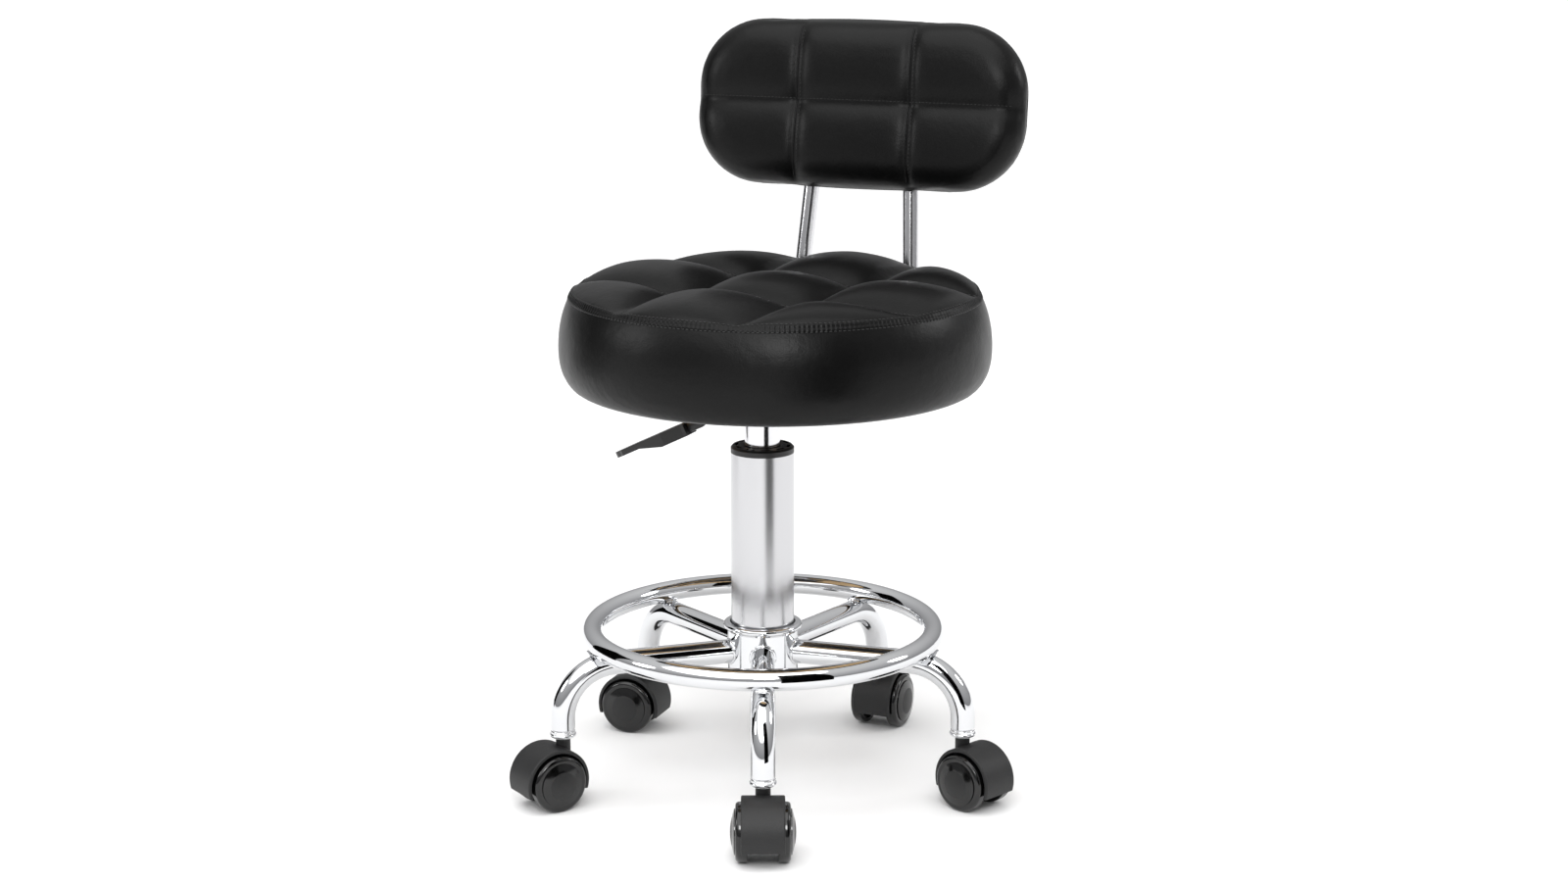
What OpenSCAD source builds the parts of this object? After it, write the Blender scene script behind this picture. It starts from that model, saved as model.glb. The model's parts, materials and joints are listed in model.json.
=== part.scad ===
// Adjustable swivel stool with a tufted round seat, a padded backrest, a gas-lift column,
// a five-leg base of bent tube with a foot ring, and five twin-wheel casters.
// Millimetres. +Z is up, the origin is on the floor on the column's axis, and the seat faces -Y.
// The model stands at its lowest height, with the casters turned as they come to rest.

/* [Legs] */
// Radius from the column's axis to a caster stem
stem_circle_r = 165; // [155:1:200]
// Outside diameter of a leg tube
leg_d = 19; // [17:0.5:22]
// Wall of a leg tube
leg_wall = 1.5; // [1.2:0.1:2]
// Height of the level part of a leg, at its centreline
leg_z = 111; // [108:1:140]
// Centreline radius of the bend in a leg
leg_bend_r = 42; // [34:1:44]
// Direction of the first leg, measured from +X
first_leg_turn = -68.5; // [-180:0.5:180]

/* [Foot ring] */
// Centreline radius of the foot ring
ring_r = 136; // [126:1:148]
// Outside diameter of the foot ring's tube
ring_d = 17; // [14:0.5:20]
// Wall of the foot ring's tube
ring_wall = 1.5; // [1.2:0.1:2]

/* [Casters] */
// Diameter of a wheel
wheel_d = 45; // [40:1:48]
// Width of a wheel, from its inner to its outer face
wheel_w = 9.3; // [8:0.1:12]
// Clear width between the two wheels of a caster
wheel_gap = 23; // [21:0.5:28]
// Width of the hood
hood_w = 33; // [28:0.5:36]
// Distance that the axle trails behind the stem
trail = 13; // [11:0.5:16]
// Diameter of the axle
axle_d = 6; // [5:0.5:7]
// Diameter of the stem
stem_d = 8; // [7:0.5:9]
// Turn of each caster from its leg's outward direction
caster_turns = [0, -27, 11, 34, 15]; // [-180:1:180]

/* [Column] */
// Outside diameter of the outer column
column_d = 50; // [46:0.5:60]
// Wall of the outer column
column_wall = 1.5; // [1.2:0.1:2]
// Length of the outer column
column_len = 184; // [170:1:240]
// Diameter of the gas cylinder
cylinder_d = 28; // [26:0.5:32]
// Diameter of the piston rod
rod_d = 10; // [8:0.5:11]
// Height that the seat rises
stroke = 110; // [60:5:110]
// Clear height from the guide bush up to the cushion at the lowest position
seat_gap = 41.5; // [40:0.5:60]

/* [Seat] */
// Widest radius of the seat cushion
seat_r = 171; // [160:1:210]
// Height of the seat cushion at its middle
seat_h = 94; // [80:1:120]
// Distance of the seat's middle behind the column's axis
seat_offset = 28; // [0:1:40]
// Thickness of the seat board
board_t = 12; // [9:1:15]

/* [Backrest] */
// Width of the backrest pad
back_w = 290; // [260:1:360]
// Height of the backrest pad
back_h = 140; // [130:1:180]
// Thickness of the backrest pad
back_t = 50; // [46:1:60]
// Height of the pad's middle along the rods, above their bend
back_up = 182; // [170:1:230]
// Angle that the backrest leans back
recline = 9; // [0:1:15]
// Outside diameter of a back rod
back_rod_d = 14; // [12:0.5:16]
// Distance between the back rods under the seat
back_rod_span = 106; // [90:1:130]

/* [Lever] */
// Length of the lever's handle
handle_len = 68; // [55:1:90]
// Width of the lever's handle
handle_w = 25; // [18:0.5:30]
// Angle that the lever droops outside the seat plate
lever_droop = 26; // [15:1:30]

/* [Hidden] */
$fn = 64;
LEG_COUNT = 5;
LEGS = [1:LEG_COUNT];

// Clearances
fit_gap = 0.05;      // between a pin and its hole, on the radius
slide_gap = 0.08;    // between a sliding or turning part and its guide, on the radius
soft_gap = 0.3;      // between a soft part and its neighbour
turn_gap = 0.25;     // between faces that turn past each other

// A bend is drawn this much fatter, and a straight run laps into it, so that they join cleanly
bend_swell = 0.04;
bend_lap = 0.5;

// Casters: the local frame has the stem on the Z axis and the axle at +X
axle_z = wheel_d / 2;
hood_wall = 2.6;
hood_r = wheel_d / 2 + 1.9 + hood_wall;
hood_edge_z = axle_z - 8;
hood_round = 1.2;
web_t = 4;
web_w = wheel_gap - 2 * 0.6;
axle_boss_d = axle_d + 6;
stem_boss_d = stem_d + 6.5;
neck_d = stem_d + 3.5;
stem_ring_t = 1.2;
stem_ring_d = stem_d + 3;
boss_z = axle_z + 2.4;
neck_top_z = axle_z + hood_r + 3.2;
axle_len = wheel_gap + 2 * (wheel_w - 3.2);
hub_hole_r = axle_d / 2 + slide_gap;
cap_r = wheel_d / 2 - 5.2;
cap_sink = 2;
cap_edge = 0.8;
cap_dome = 2.8;

// Stem and leg end
washer_t = 2;
leg_end_z = neck_top_z + turn_gap + washer_t;
leg_inner_r = leg_d / 2 - leg_wall;
leg_bend_x = stem_circle_r - leg_bend_r;
leg_bend_z = leg_z - leg_bend_r;
socket_nose_h = 10;
bend_shift = leg_bend_r - sqrt(leg_bend_r * leg_bend_r - socket_nose_h * socket_nose_h);
socket_nose_r = leg_inner_r - bend_shift - 0.4;
stem_top_z = leg_bend_z + socket_nose_h - 1.5;

// Foot ring, sunk a little into the legs where it is welded
weld_sink = 0.5;
ring_reach = leg_bend_r + leg_d / 2 + ring_d / 2 - weld_sink;
ring_z = leg_bend_z + sqrt(pow(ring_reach, 2) - pow(max(ring_r - leg_bend_x, 0), 2));

// Hub and outer column
column_r = column_d / 2;
hub_wall = 3;
hub_r = column_r + hub_wall;
hub_bottom_z = leg_z - 27;
hub_top_z = leg_z + 23;
hub_lip_r = 2.6;
column_bottom_z = hub_bottom_z + 4;
column_top_z = column_bottom_z + column_len;
column_taper = 1.5;
column_inner_r = column_r - column_wall;
floor_t = 3;

// Thrust bearing on the column's floor
pin_d = rod_d - 2;
race_t = 2.6;
race_r = rod_d / 2 + 6;
ball_d = 4;
ball_count = 10;
ball_groove_r = ball_d / 2 + 0.06;
ball_pitch_r = (pin_d / 2 + race_r) / 2;
race_gap = 2.8;
lower_race_z = column_bottom_z + floor_t;
cage_z = lower_race_z + race_t + race_gap / 2;
upper_race_z = cage_z + race_gap / 2;
shoulder_z = upper_race_z + race_t;
clip_t = 1.2;
clip_z = column_bottom_z - turn_gap - clip_t;
rod_bottom_z = clip_z - 1.6;

// Gas cylinder, at its lowest position
bump_h = 8;
cylinder_bottom_z = shoulder_z + bump_h + soft_gap;
cylinder_r = cylinder_d / 2;
cylinder_wall = 1.8;
cylinder_inner_r = cylinder_r - cylinder_wall;
lip_t = 1.8;
gland_h = 12;
piston_h = 12;
piston_z = cylinder_bottom_z + lip_t + gland_h + stroke + 2;

// Guide bush at the top of the outer column
bush_flange_t = 5.5;
bush_len = 52;
bush_top_z = column_top_z + bush_flange_t;
bush_slots = 10;
bush_slot_depth = 4;

// Seat, stacked up from the cushion's underside
cushion_z = bush_top_z + seat_gap;
cover_t = 1.5;
foam_inset = cover_t + soft_gap;
board_z = cushion_z + foam_inset;
board_r = seat_r - 21;
fold_in_r = board_r - 10;
seat_seam_h = seat_h - 18;
seat_seam_r = seat_r - 10;
seat_foot_r = seat_r - 19;
seat_bulge_h = seat_h * 0.33;

// Seat plate, a pressed sheet with a dish, bolted up against the board
plate_w = 150;
plate_t = 2.7;
plate_corner_r = 14;
plate_z = board_z - plate_t;
dish_r = 44;
dish_top_r = 56;
dish_z = plate_z - 15;
dish_t = 2.5;
socket_bottom_z = dish_z - 6.5;
socket_wall = 4;
cylinder_top_z = board_z - 16;
socket_top_z = dish_z + dish_t - 0.5;
valve_body_h = 38;
plate_bolt_at = 61;
bolt_d = 6;
bolt_head_d = 12;
bolt_head_t = 3.4;

// Valve button and lever
button_d = 8;
button_rise = 4.6;
button_dome_r = 9;
button_top_z = cylinder_top_z + button_rise;
button_len = 26;
lever_d = 8;
lever_gap = 0.3;
lever_arm = 28;
lever_z = button_top_z + lever_gap + lever_d / 2;
lever_pin_d = 4;
lever_nose_x = 3;
crank_x = 34;
crank_turn = 60;
crank_bend_r = 8;
crank_run = 18;
ear_t = 2;
ear_w = 10;
ear_gap = lever_d + 0.6;
handle_start = 10;
handle_t = 10.6;
handle_tip_t = 4.8;
handle_seat = 22;
handle_wall = 1.8;
window_w = lever_d + 2.4;

// Back rods and their clamps under the board
back_rod_r = back_rod_d / 2;
back_rod_wall = 1.5;
back_bend_r = 35;
back_rod_z = cushion_z - soft_gap - back_rod_r;
back_bend_y = seat_offset + seat_r + 12 - back_bend_r;
back_bend_z = back_rod_z + back_bend_r;
back_rod_start_y = plate_w / 2 + 7;
rod_toe_in = 3.6;
back_rod_rise = back_up + 43;
clamp_w = back_rod_span + back_rod_d + 12;
clamp_depth = 20;
clamp_back_y = seat_offset + sqrt(pow(fold_in_r, 2) - pow(clamp_w / 2, 2)) - clamp_depth / 2 - 2;
clamp_ys = [back_rod_start_y + 14, clamp_back_y];
clamp_wall = 3.2;
clamp_bolt_at = 20;
clamp_bottom_z = back_rod_z - back_rod_r - clamp_wall;

// Backrest, in the frame of the leaning rods
back_board_t = 9;
back_board_w = back_w - 44;
back_board_h = back_h - 44;
back_board_corner = 36;
back_split_y = back_bend_r - back_rod_r - 0.15;
back_y = back_bend_r - 13.7;
back_corner = 58;
back_edge_r = 21;
back_bolt_d = 5;
back_bolt_head_d = 9;
back_bolt_head_t = 1.9;
back_bolt_ups = [back_up - 24, back_up + 24];

// ---- Shared shapes ----

// A ring about Z between two radii
module ring(outer_r, inner_r, z, h) {
    translate([0, 0, z])
        difference() {
            cylinder(r = outer_r, h = h);
            translate([0, 0, -1]) cylinder(r = inner_r, h = h + 2);
        }
}

// A flat plate with round corners, its lowest face at z = 0
module round_plate(w, d, r, t) {
    linear_extrude(t)
        union() {
            square([w - 2 * r, d], center = true);
            square([w, d - 2 * r], center = true);
            for (x = [-1, 1], y = [-1, 1]) translate([x * (w / 2 - r), y * (d / 2 - r)]) circle(r = r);
        }
}

// A bolt that points up, with the underside of its head at z = 0
module bolt(d, len, head_d, head_t) {
    translate([0, 0, -0.01]) cylinder(d = d, h = len + 0.01);
    translate([0, 0, -head_t])
        difference() {
            cylinder(d = head_d, h = head_t);
            translate([0, 0, -1]) cylinder(d = d * 0.65, h = head_t * 0.6 + 1, $fn = 6);
        }
}

module at_leg(i) {
    rotate([0, 0, first_leg_turn + (i - 1) * 360 / LEG_COUNT]) children();
}

module at_caster(i) {
    at_leg(i) translate([stem_circle_r, 0, 0]) rotate([0, 0, caster_turns[i - 1]]) children();
}

// The axle's frame: its local Z axis lies along the axle
module at_axle() {
    translate([trail, 0, axle_z]) rotate([90, 0, 0]) children();
}

// ---- Base ----

// Solid sweep along one leg's centreline
module leg_sweep(d) {
    translate([column_r, 0, leg_z]) rotate([0, 90, 0]) cylinder(d = d, h = leg_bend_x - column_r);
    translate([leg_bend_x, 0, leg_bend_z])
        rotate([90, 0, 0]) rotate_extrude(angle = 90) translate([leg_bend_r, 0]) circle(d = d);
    translate([stem_circle_r, 0, leg_end_z]) cylinder(d = d, h = leg_bend_z - leg_end_z);
}

// One bent leg, coped to the hub, with a rolled bead and a crimp groove at its open end
module leg(i) {
    bead_r = 1.6;
    color("silver") at_leg(i)
        difference() {
            union() {
                leg_sweep(leg_d);
                translate([stem_circle_r, 0, leg_end_z + bead_r])
                    rotate_extrude() translate([leg_d / 2 - 0.7, 0]) circle(r = bead_r);
            }
            leg_sweep(2 * leg_inner_r);
            translate([0, 0, hub_bottom_z - 1]) cylinder(r = hub_r, h = hub_top_z - hub_bottom_z + 2);
            translate([stem_circle_r, 0, leg_end_z - 1]) cylinder(r = leg_inner_r, h = 2);
            translate([stem_circle_r, 0, leg_end_z + 5.4])
                rotate_extrude() translate([leg_d / 2 + 0.5, 0]) circle(r = 1.1);
        }
}

// Turned hub with a tapered bore for the column and a rolled lip
module base_hub() {
    lip_z = hub_top_z - hub_lip_r;
    slope = column_taper / (hub_top_z - column_bottom_z);
    bottom_r = column_r + fit_gap - slope * (hub_top_z - hub_bottom_z);
    mouth_h = 5;
    color("silver")
        rotate_extrude()
            difference() {
                union() {
                    polygon([[bottom_r, hub_bottom_z], [hub_r - 1, hub_bottom_z], [hub_r, hub_bottom_z + 1],
                             [hub_r, lip_z - 4], [hub_r + hub_lip_r, lip_z], [hub_r, hub_top_z],
                             [column_r + fit_gap, hub_top_z]]);
                    translate([hub_r + 0.8, lip_z]) circle(r = hub_lip_r);
                }
                polygon([[column_r + fit_gap - slope * mouth_h, hub_top_z - mouth_h],
                         [column_r + 1.3, hub_top_z + 1], [column_r - 3, hub_top_z + 1],
                         [column_r - 3, hub_top_z - mouth_h]]);
            }
}

// Round tube ring that rests on the start of each leg's bend
module foot_ring() {
    color("silver")
        translate([0, 0, ring_z])
            rotate_extrude()
                translate([ring_r, 0])
                    difference() {
                        circle(d = ring_d);
                        circle(d = ring_d - 2 * ring_wall);
                    }
}

// Moulded plugs inside the leg ends, bored for the stems
module caster_sockets() {
    foot_z = leg_end_z + 0.4;
    color([0.1, 0.1, 0.1])
        for (i = LEGS) at_leg(i) translate([stem_circle_r, 0, 0])
            difference() {
                union() {
                    translate([0, 0, foot_z]) cylinder(r = leg_inner_r - fit_gap, h = leg_bend_z - foot_z);
                    translate([0, 0, leg_bend_z]) cylinder(r = socket_nose_r, h = socket_nose_h);
                }
                translate([0, 0, foot_z - 1])
                    cylinder(d = stem_d + 2 * fit_gap, h = stem_top_z + 0.5 - foot_z + 1);
            }
}

// Tube with a tapered foot and a pierced floor that carries the thrust bearing
module outer_column() {
    foot_r = column_r - column_taper;
    hole_r = pin_d / 2 + 1.5;
    color([0.75, 0.75, 0.77])
        rotate_extrude()
            polygon([[hole_r, column_bottom_z], [foot_r, column_bottom_z], [column_r, hub_top_z],
                     [column_r, column_top_z], [column_inner_r, column_top_z],
                     [column_inner_r, hub_top_z], [foot_r - column_wall, column_bottom_z + floor_t],
                     [hole_r, column_bottom_z + floor_t]]);
}

// Moulded bush that guides the gas cylinder, with a flange over the column's end
module guide_bush() {
    slot_r = (cylinder_r + column_r) / 2 + 1.2;
    slot_span = 360 / bush_slots * 0.62;
    color([0.08, 0.08, 0.08])
        difference() {
            rotate_extrude()
                polygon([[cylinder_r + slide_gap, column_top_z - bush_len],
                         [column_inner_r - fit_gap, column_top_z - bush_len],
                         [column_inner_r - fit_gap, column_top_z], [column_r, column_top_z],
                         [column_r, bush_top_z - 1.5], [column_r - 1.5, bush_top_z],
                         [cylinder_r + 1.5, bush_top_z], [cylinder_r + slide_gap, bush_top_z - 1.5]]);
            for (k = [0:bush_slots - 1])
                rotate([0, 0, k * 360 / bush_slots])
                    translate([0, 0, bush_top_z - bush_slot_depth])
                        rotate_extrude(angle = slot_span)
                            translate([slot_r - 1.3, 0]) square([2.6, bush_slot_depth + 1]);
        }
}

// ---- Turning bearing and lift ----

// Half of the ball groove is pressed into each race
module race(z, groove_z, bore_r) {
    color([0.6, 0.6, 0.62])
        rotate_extrude()
            difference() {
                translate([bore_r, z]) square([race_r - bore_r, race_t]);
                translate([ball_pitch_r, groove_z]) circle(r = ball_groove_r);
            }
}

module bearing_lower_race() {
    race(lower_race_z, cage_z, pin_d / 2 + slide_gap);
}

module bearing_upper_race() {
    race(upper_race_z, cage_z, pin_d / 2 + fit_gap);
}

// Loose balls held apart by a flat cage
module bearing_ball_cage() {
    cage_t = 1.4;
    color([0.75, 0.65, 0.35])
        difference() {
            ring(race_r - 0.8, pin_d / 2 + 0.8, cage_z - cage_t / 2, cage_t);
            for (k = [0:ball_count - 1])
                rotate([0, 0, k * 360 / ball_count])
                    translate([ball_pitch_r, 0, cage_z - cage_t]) cylinder(d = ball_d + 0.1, h = 2 * cage_t);
        }
    color("silver")
        for (k = [0:ball_count - 1])
            rotate([0, 0, k * 360 / ball_count]) translate([ball_pitch_r, 0, cage_z]) sphere(d = ball_d);
}

// Rod with its piston at the top and a stepped pin through the bearing at the bottom
module piston_rod() {
    groove_r = pin_d / 2 - 0.8;
    color("silver")
        rotate_extrude()
            polygon([[0, rod_bottom_z], [pin_d / 2, rod_bottom_z], [pin_d / 2, clip_z], [groove_r, clip_z],
                     [groove_r, clip_z + clip_t], [pin_d / 2, clip_z + clip_t], [pin_d / 2, shoulder_z],
                     [rod_d / 2, shoulder_z], [rod_d / 2, piston_z],
                     [cylinder_inner_r - slide_gap, piston_z],
                     [cylinder_inner_r - slide_gap, piston_z + piston_h], [0, piston_z + piston_h]]);
}

// Spring clip in the pin's groove, under the column's floor
module rod_clip() {
    groove_r = pin_d / 2 - 0.8;
    color([0.3, 0.3, 0.32])
        difference() {
            ring(pin_d / 2 + 3.2, groove_r, clip_z, clip_t);
            translate([0, -groove_r * 0.8, clip_z - 1]) cube([pin_d + 8, groove_r * 1.6, clip_t + 2]);
        }
}

// Rubber stop that the cylinder comes down onto
module bump_rubber() {
    color([0.12, 0.12, 0.12]) ring(rod_d / 2 + 4.5, rod_d / 2 + fit_gap, shoulder_z, bump_h);
}

// Chromed cylinder, closed by its valve body at the top and a rolled lip at the bottom
module gas_cylinder() {
    top_in_z = cylinder_top_z - valve_body_h;
    button_hole_r = button_d / 2 + slide_gap;
    button_seat_z = cylinder_top_z - button_len + button_rise - 5;
    lip_hole_r = rod_d / 2 + 2;
    color("silver")
        rotate_extrude()
            polygon([[lip_hole_r, cylinder_bottom_z], [cylinder_r - 1.5, cylinder_bottom_z],
                     [cylinder_r, cylinder_bottom_z + 1.5], [cylinder_r, cylinder_top_z - 1.2],
                     [cylinder_r - 1.2, cylinder_top_z], [button_hole_r, cylinder_top_z],
                     [button_hole_r, button_seat_z], [0, button_seat_z], [0, top_in_z],
                     [cylinder_inner_r, top_in_z], [cylinder_inner_r, cylinder_bottom_z + lip_t],
                     [lip_hole_r, cylinder_bottom_z + lip_t]]);
}

// Guide and seal around the rod
module cylinder_gland() {
    color([0.15, 0.15, 0.15])
        ring(cylinder_inner_r - fit_gap, rod_d / 2 + slide_gap, cylinder_bottom_z + lip_t, gland_h);
}

// Release pin of the gas valve, with a domed top
module valve_button() {
    bottom_z = button_top_z - button_len;
    color([0.7, 0.7, 0.7])
        intersection() {
            translate([0, 0, bottom_z]) cylinder(d = button_d, h = button_len);
            translate([0, 0, button_top_z - button_dome_r]) {
                sphere(r = button_dome_r);
                translate([0, 0, -button_len]) cylinder(r = button_dome_r, h = button_len);
            }
        }
}

// ---- Seat plate and lever ----

// Pressed plate with a dish, a socket for the cylinder, two ears for the lever's pin,
// and a window that the lever comes out of
module seat_plate() {
    dish_drop = plate_z - dish_z;
    color([0.12, 0.12, 0.12])
        difference() {
            union() {
                translate([0, 0, plate_z]) round_plate(plate_w, plate_w, plate_corner_r, plate_t);
                translate([0, 0, dish_z]) cylinder(r1 = dish_r, r2 = dish_top_r, h = dish_drop + 0.01);
            }
            translate([0, 0, dish_z + dish_t])
                cylinder(r1 = dish_r - dish_t + 1, r2 = dish_top_r - dish_t + 1, h = dish_drop + plate_t);
            translate([0, 0, dish_z - 1]) cylinder(r = cylinder_r + 1, h = dish_t + 2);
            translate([-dish_top_r - 4, -window_w / 2, dish_z - 1])
                cube([dish_top_r - crank_x, window_w, dish_drop - 1]);
            for (x = [-1, 1], y = [-1, 1])
                translate([x * plate_bolt_at, y * plate_bolt_at, plate_z - 1])
                    cylinder(d = bolt_d + 2 * fit_gap, h = plate_t + 2);
        }
    color([0.12, 0.12, 0.12])
        ring(cylinder_r + socket_wall, cylinder_r + fit_gap, socket_bottom_z, socket_top_z - socket_bottom_z);
    color([0.12, 0.12, 0.12])
        for (side = [-1, 1])
            difference() {
                translate([-lever_arm - ear_w / 2, side * (ear_gap + ear_t) / 2 - ear_t / 2, dish_z + dish_t - 0.01])
                    cube([ear_w, ear_t, lever_z + 3.6 - dish_z - dish_t]);
                translate([-lever_arm, 0, lever_z])
                    rotate([90, 0, 0])
                        cylinder(d = lever_pin_d + 2 * fit_gap, h = 2 * ear_gap + 8, center = true);
            }
}

module plate_bolts() {
    color([0.5, 0.5, 0.5])
        for (x = [-1, 1], y = [-1, 1])
            translate([x * plate_bolt_at, y * plate_bolt_at, plate_z])
                bolt(bolt_d, plate_t + board_t - 2, bolt_head_d, bolt_head_t);
}

module lever_pin() {
    color("silver")
        translate([-lever_arm, 0, lever_z])
            rotate([90, 0, 0]) cylinder(d = lever_pin_d, h = ear_gap + 2 * ear_t + 1.2, center = true);
}

// Bend of a round bar that runs along +X: down for turn above 0, up for turn below 0
module bar_bend(d, r, turn) {
    way = turn > 0 ? 1 : -1;
    translate([0, 0, -way * r])
        rotate([90, 0, 0]) rotate([0, 0, way > 0 ? 90 - turn : -90])
            rotate_extrude(angle = abs(turn)) translate([r, 0]) circle(d = d + bend_swell);
}

// Frame at the far end of such a bend
module past_bend(r, turn) {
    way = turn > 0 ? 1 : -1;
    translate([0, 0, -way * r]) rotate([0, turn, 0]) translate([0, 0, way * r]) children();
}

// Frame of the crank: local +X points out from its first bend
module at_crank() {
    translate([-crank_x, 0, lever_z]) rotate([0, 0, 180]) children();
}

// Frame of the lever's outer straight run: local +X points out along the drooping rod
module at_handle() {
    at_crank() past_bend(crank_bend_r, crank_turn) translate([crank_run, 0, 0])
        past_bend(crank_bend_r, lever_droop - crank_turn) children();
}

// Straight run of the lever's bar along its frame's X axis
module lever_run(from, to) {
    translate([from, 0, 0]) rotate([0, 90, 0]) cylinder(d = lever_d, h = to - from);
}

// Round bar cranked down behind its pivot, with its nose over the valve button
module lever_rod() {
    color([0.1, 0.1, 0.1])
        difference() {
            union() {
                at_crank() lever_run(-crank_x - lever_nose_x, bend_lap);
                at_crank() bar_bend(lever_d, crank_bend_r, crank_turn);
                at_crank() past_bend(crank_bend_r, crank_turn) {
                    lever_run(-bend_lap, crank_run + bend_lap);
                    translate([crank_run, 0, 0]) bar_bend(lever_d, crank_bend_r, lever_droop - crank_turn);
                }
                at_handle() lever_run(-bend_lap, handle_start + handle_seat);
            }
            translate([-lever_arm, 0, lever_z])
                rotate([90, 0, 0])
                    cylinder(d = lever_pin_d + 2 * slide_gap, h = lever_d + 2, center = true);
        }
}

// Moulded paddle with a thick root, a thin tip and a hollow underside
module lever_handle() {
    top = handle_t / 2;
    thin_from = handle_len * 0.34;
    thin_to = handle_len * 0.62;
    tip_r = handle_w / 2 - 2;
    color([0.07, 0.07, 0.07])
        at_handle() translate([handle_start, 0, 0])
            difference() {
                intersection() {
                    rotate([90, 0, 0])
                        linear_extrude(handle_w, center = true)
                            polygon([[0, -top], [0, top - 1], [1, top], [handle_len, top],
                                     [handle_len, top - handle_tip_t], [thin_to, top - handle_tip_t],
                                     [thin_from, -top]]);
                    translate([0, 0, -handle_t])
                        linear_extrude(2 * handle_t)
                            union() {
                                translate([0, -handle_w / 2 + 3]) square([handle_len - tip_r, handle_w - 6]);
                                polygon([[0, -handle_w * 0.36], [handle_len * 0.3, -handle_w / 2],
                                         [handle_len - tip_r, -handle_w / 2], [handle_len - 4, -tip_r * 0.7],
                                         [handle_len - 4, tip_r * 0.7], [handle_len - tip_r, handle_w / 2],
                                         [handle_len * 0.3, handle_w / 2], [0, handle_w * 0.36]]);
                                translate([handle_len - tip_r, 0]) circle(r = tip_r);
                            }
                }
                translate([-1, 0, 0]) rotate([0, 90, 0]) cylinder(d = lever_d + 2 * fit_gap, h = handle_seat + 1);
                translate([thin_from + 2, -handle_w / 2 + handle_wall, -top - 1])
                    cube([handle_len * 0.5, handle_w - 2 * handle_wall, top + 1 + top - handle_wall]);
            }
}

// ---- Seat ----

module at_seat() {
    translate([0, seat_offset, 0]) children();
}

// Plywood disc, drilled for the plate's and the clamps' bolts
module seat_board() {
    color([0.75, 0.6, 0.4])
        difference() {
            at_seat() translate([0, 0, board_z]) cylinder(r = board_r, h = board_t, $fn = 96);
            for (x = [-1, 1], y = [-1, 1])
                translate([x * plate_bolt_at, y * plate_bolt_at, board_z - 1])
                    cylinder(d = bolt_d + 2 * fit_gap, h = board_t - 0.5);
            for (y = clamp_ys, x = [-clamp_bolt_at, clamp_bolt_at])
                translate([x, y, board_z - 1]) cylinder(d = back_bolt_d + 2 * fit_gap, h = board_t - 0.5);
        }
}

function ellipse_arc(cx, cz, rx, rz, from, to, steps) =
    [for (k = [0:steps]) let(a = from + (to - from) * k / steps) [cx + rx * cos(a), cz + rz * sin(a)]];

function backwards(points) = [for (k = [len(points) - 1:-1:0]) points[k]];

// Half section of the cushion from its folded hem to its middle, drawn in by inset:
// a quarter ellipse, a slow taper up to the seam, and a low crown
function cushion_outline(inset) =
    let(bulge_z = cushion_z + seat_bulge_h, taper_z = bulge_z + 12, seam_z = cushion_z + seat_seam_h)
    concat(
        [[fold_in_r, cushion_z + inset]],
        ellipse_arc(seat_foot_r, bulge_z, seat_r - seat_foot_r - inset, seat_bulge_h - inset, -90, 0, 6),
        ellipse_arc(seat_seam_r, taper_z, seat_r - seat_seam_r - inset, seam_z - taper_z - inset, 0, 75, 5),
        ellipse_arc(0, seam_z, seat_seam_r - 4 - inset, seat_h - seat_seam_h - inset, 8, 90, 8)
    );

// Moulded foam over the board and round its edge
module seat_foam() {
    board_top_z = board_z + board_t + soft_gap;
    color([0.9, 0.85, 0.6])
        at_seat()
            rotate_extrude($fn = 96)
                difference() {
                    polygon(concat(cushion_outline(foam_inset), [[0, board_z]]));
                    translate([-1, cushion_z]) square([board_r + soft_gap + 1, board_top_z - cushion_z]);
                }
}

// Sewn cover, drawn over the foam and folded under the board's edge
module seat_cover() {
    color([0.06, 0.06, 0.06])
        at_seat()
            rotate_extrude($fn = 96)
                polygon(concat(cushion_outline(0), backwards(cushion_outline(cover_t))));
}

// ---- Backrest ----

// Frame of a back rod: side is -1 on the left and 1 on the right
module at_back_rod(side) {
    translate([side * back_rod_span / 2, 0, back_rod_z]) rotate([0, -side * rod_toe_in, 0])
        translate([0, 0, -back_rod_z]) children();
}

// Leaning frame: the rods' straight runs rise along its Z axis at Y = back_bend_r
module at_lean() {
    translate([0, back_bend_y, back_bend_z]) rotate([-recline, 0, 0]) children();
}

// Solid sweep along one back rod, lengthened at both ends by over
module back_rod_sweep(d, over) {
    translate([0, back_rod_start_y - over, back_rod_z])
        rotate([-90, 0, 0]) cylinder(d = d, h = back_bend_y - back_rod_start_y + over + bend_lap);
    at_lean() {
        rotate([90, 0, 90]) rotate([0, 0, recline - 90])
            rotate_extrude(angle = 90 - recline) translate([back_bend_r, 0]) circle(d = d + bend_swell);
        translate([0, back_bend_r, -bend_lap]) cylinder(d = d, h = back_rod_rise + over + bend_lap);
    }
}

// Places the two bolts that go through a rod into the board, pointing forward
module at_back_bolts(side) {
    at_back_rod(side) at_lean()
        for (up = back_bolt_ups)
            translate([0, back_bend_r + back_rod_r, up]) rotate([90, 0, 0]) children();
}

module back_rod(side) {
    color("silver")
        difference() {
            at_back_rod(side)
                difference() {
                    back_rod_sweep(back_rod_d, 0);
                    back_rod_sweep(back_rod_d - 2 * back_rod_wall, 1);
                }
            at_back_bolts(side)
                translate([0, 0, -1]) cylinder(d = back_bolt_d + 2 * fit_gap, h = back_rod_d + 2);
        }
}

module back_rod_left() {
    back_rod(-1);
}

module back_rod_right() {
    back_rod(1);
}

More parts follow.
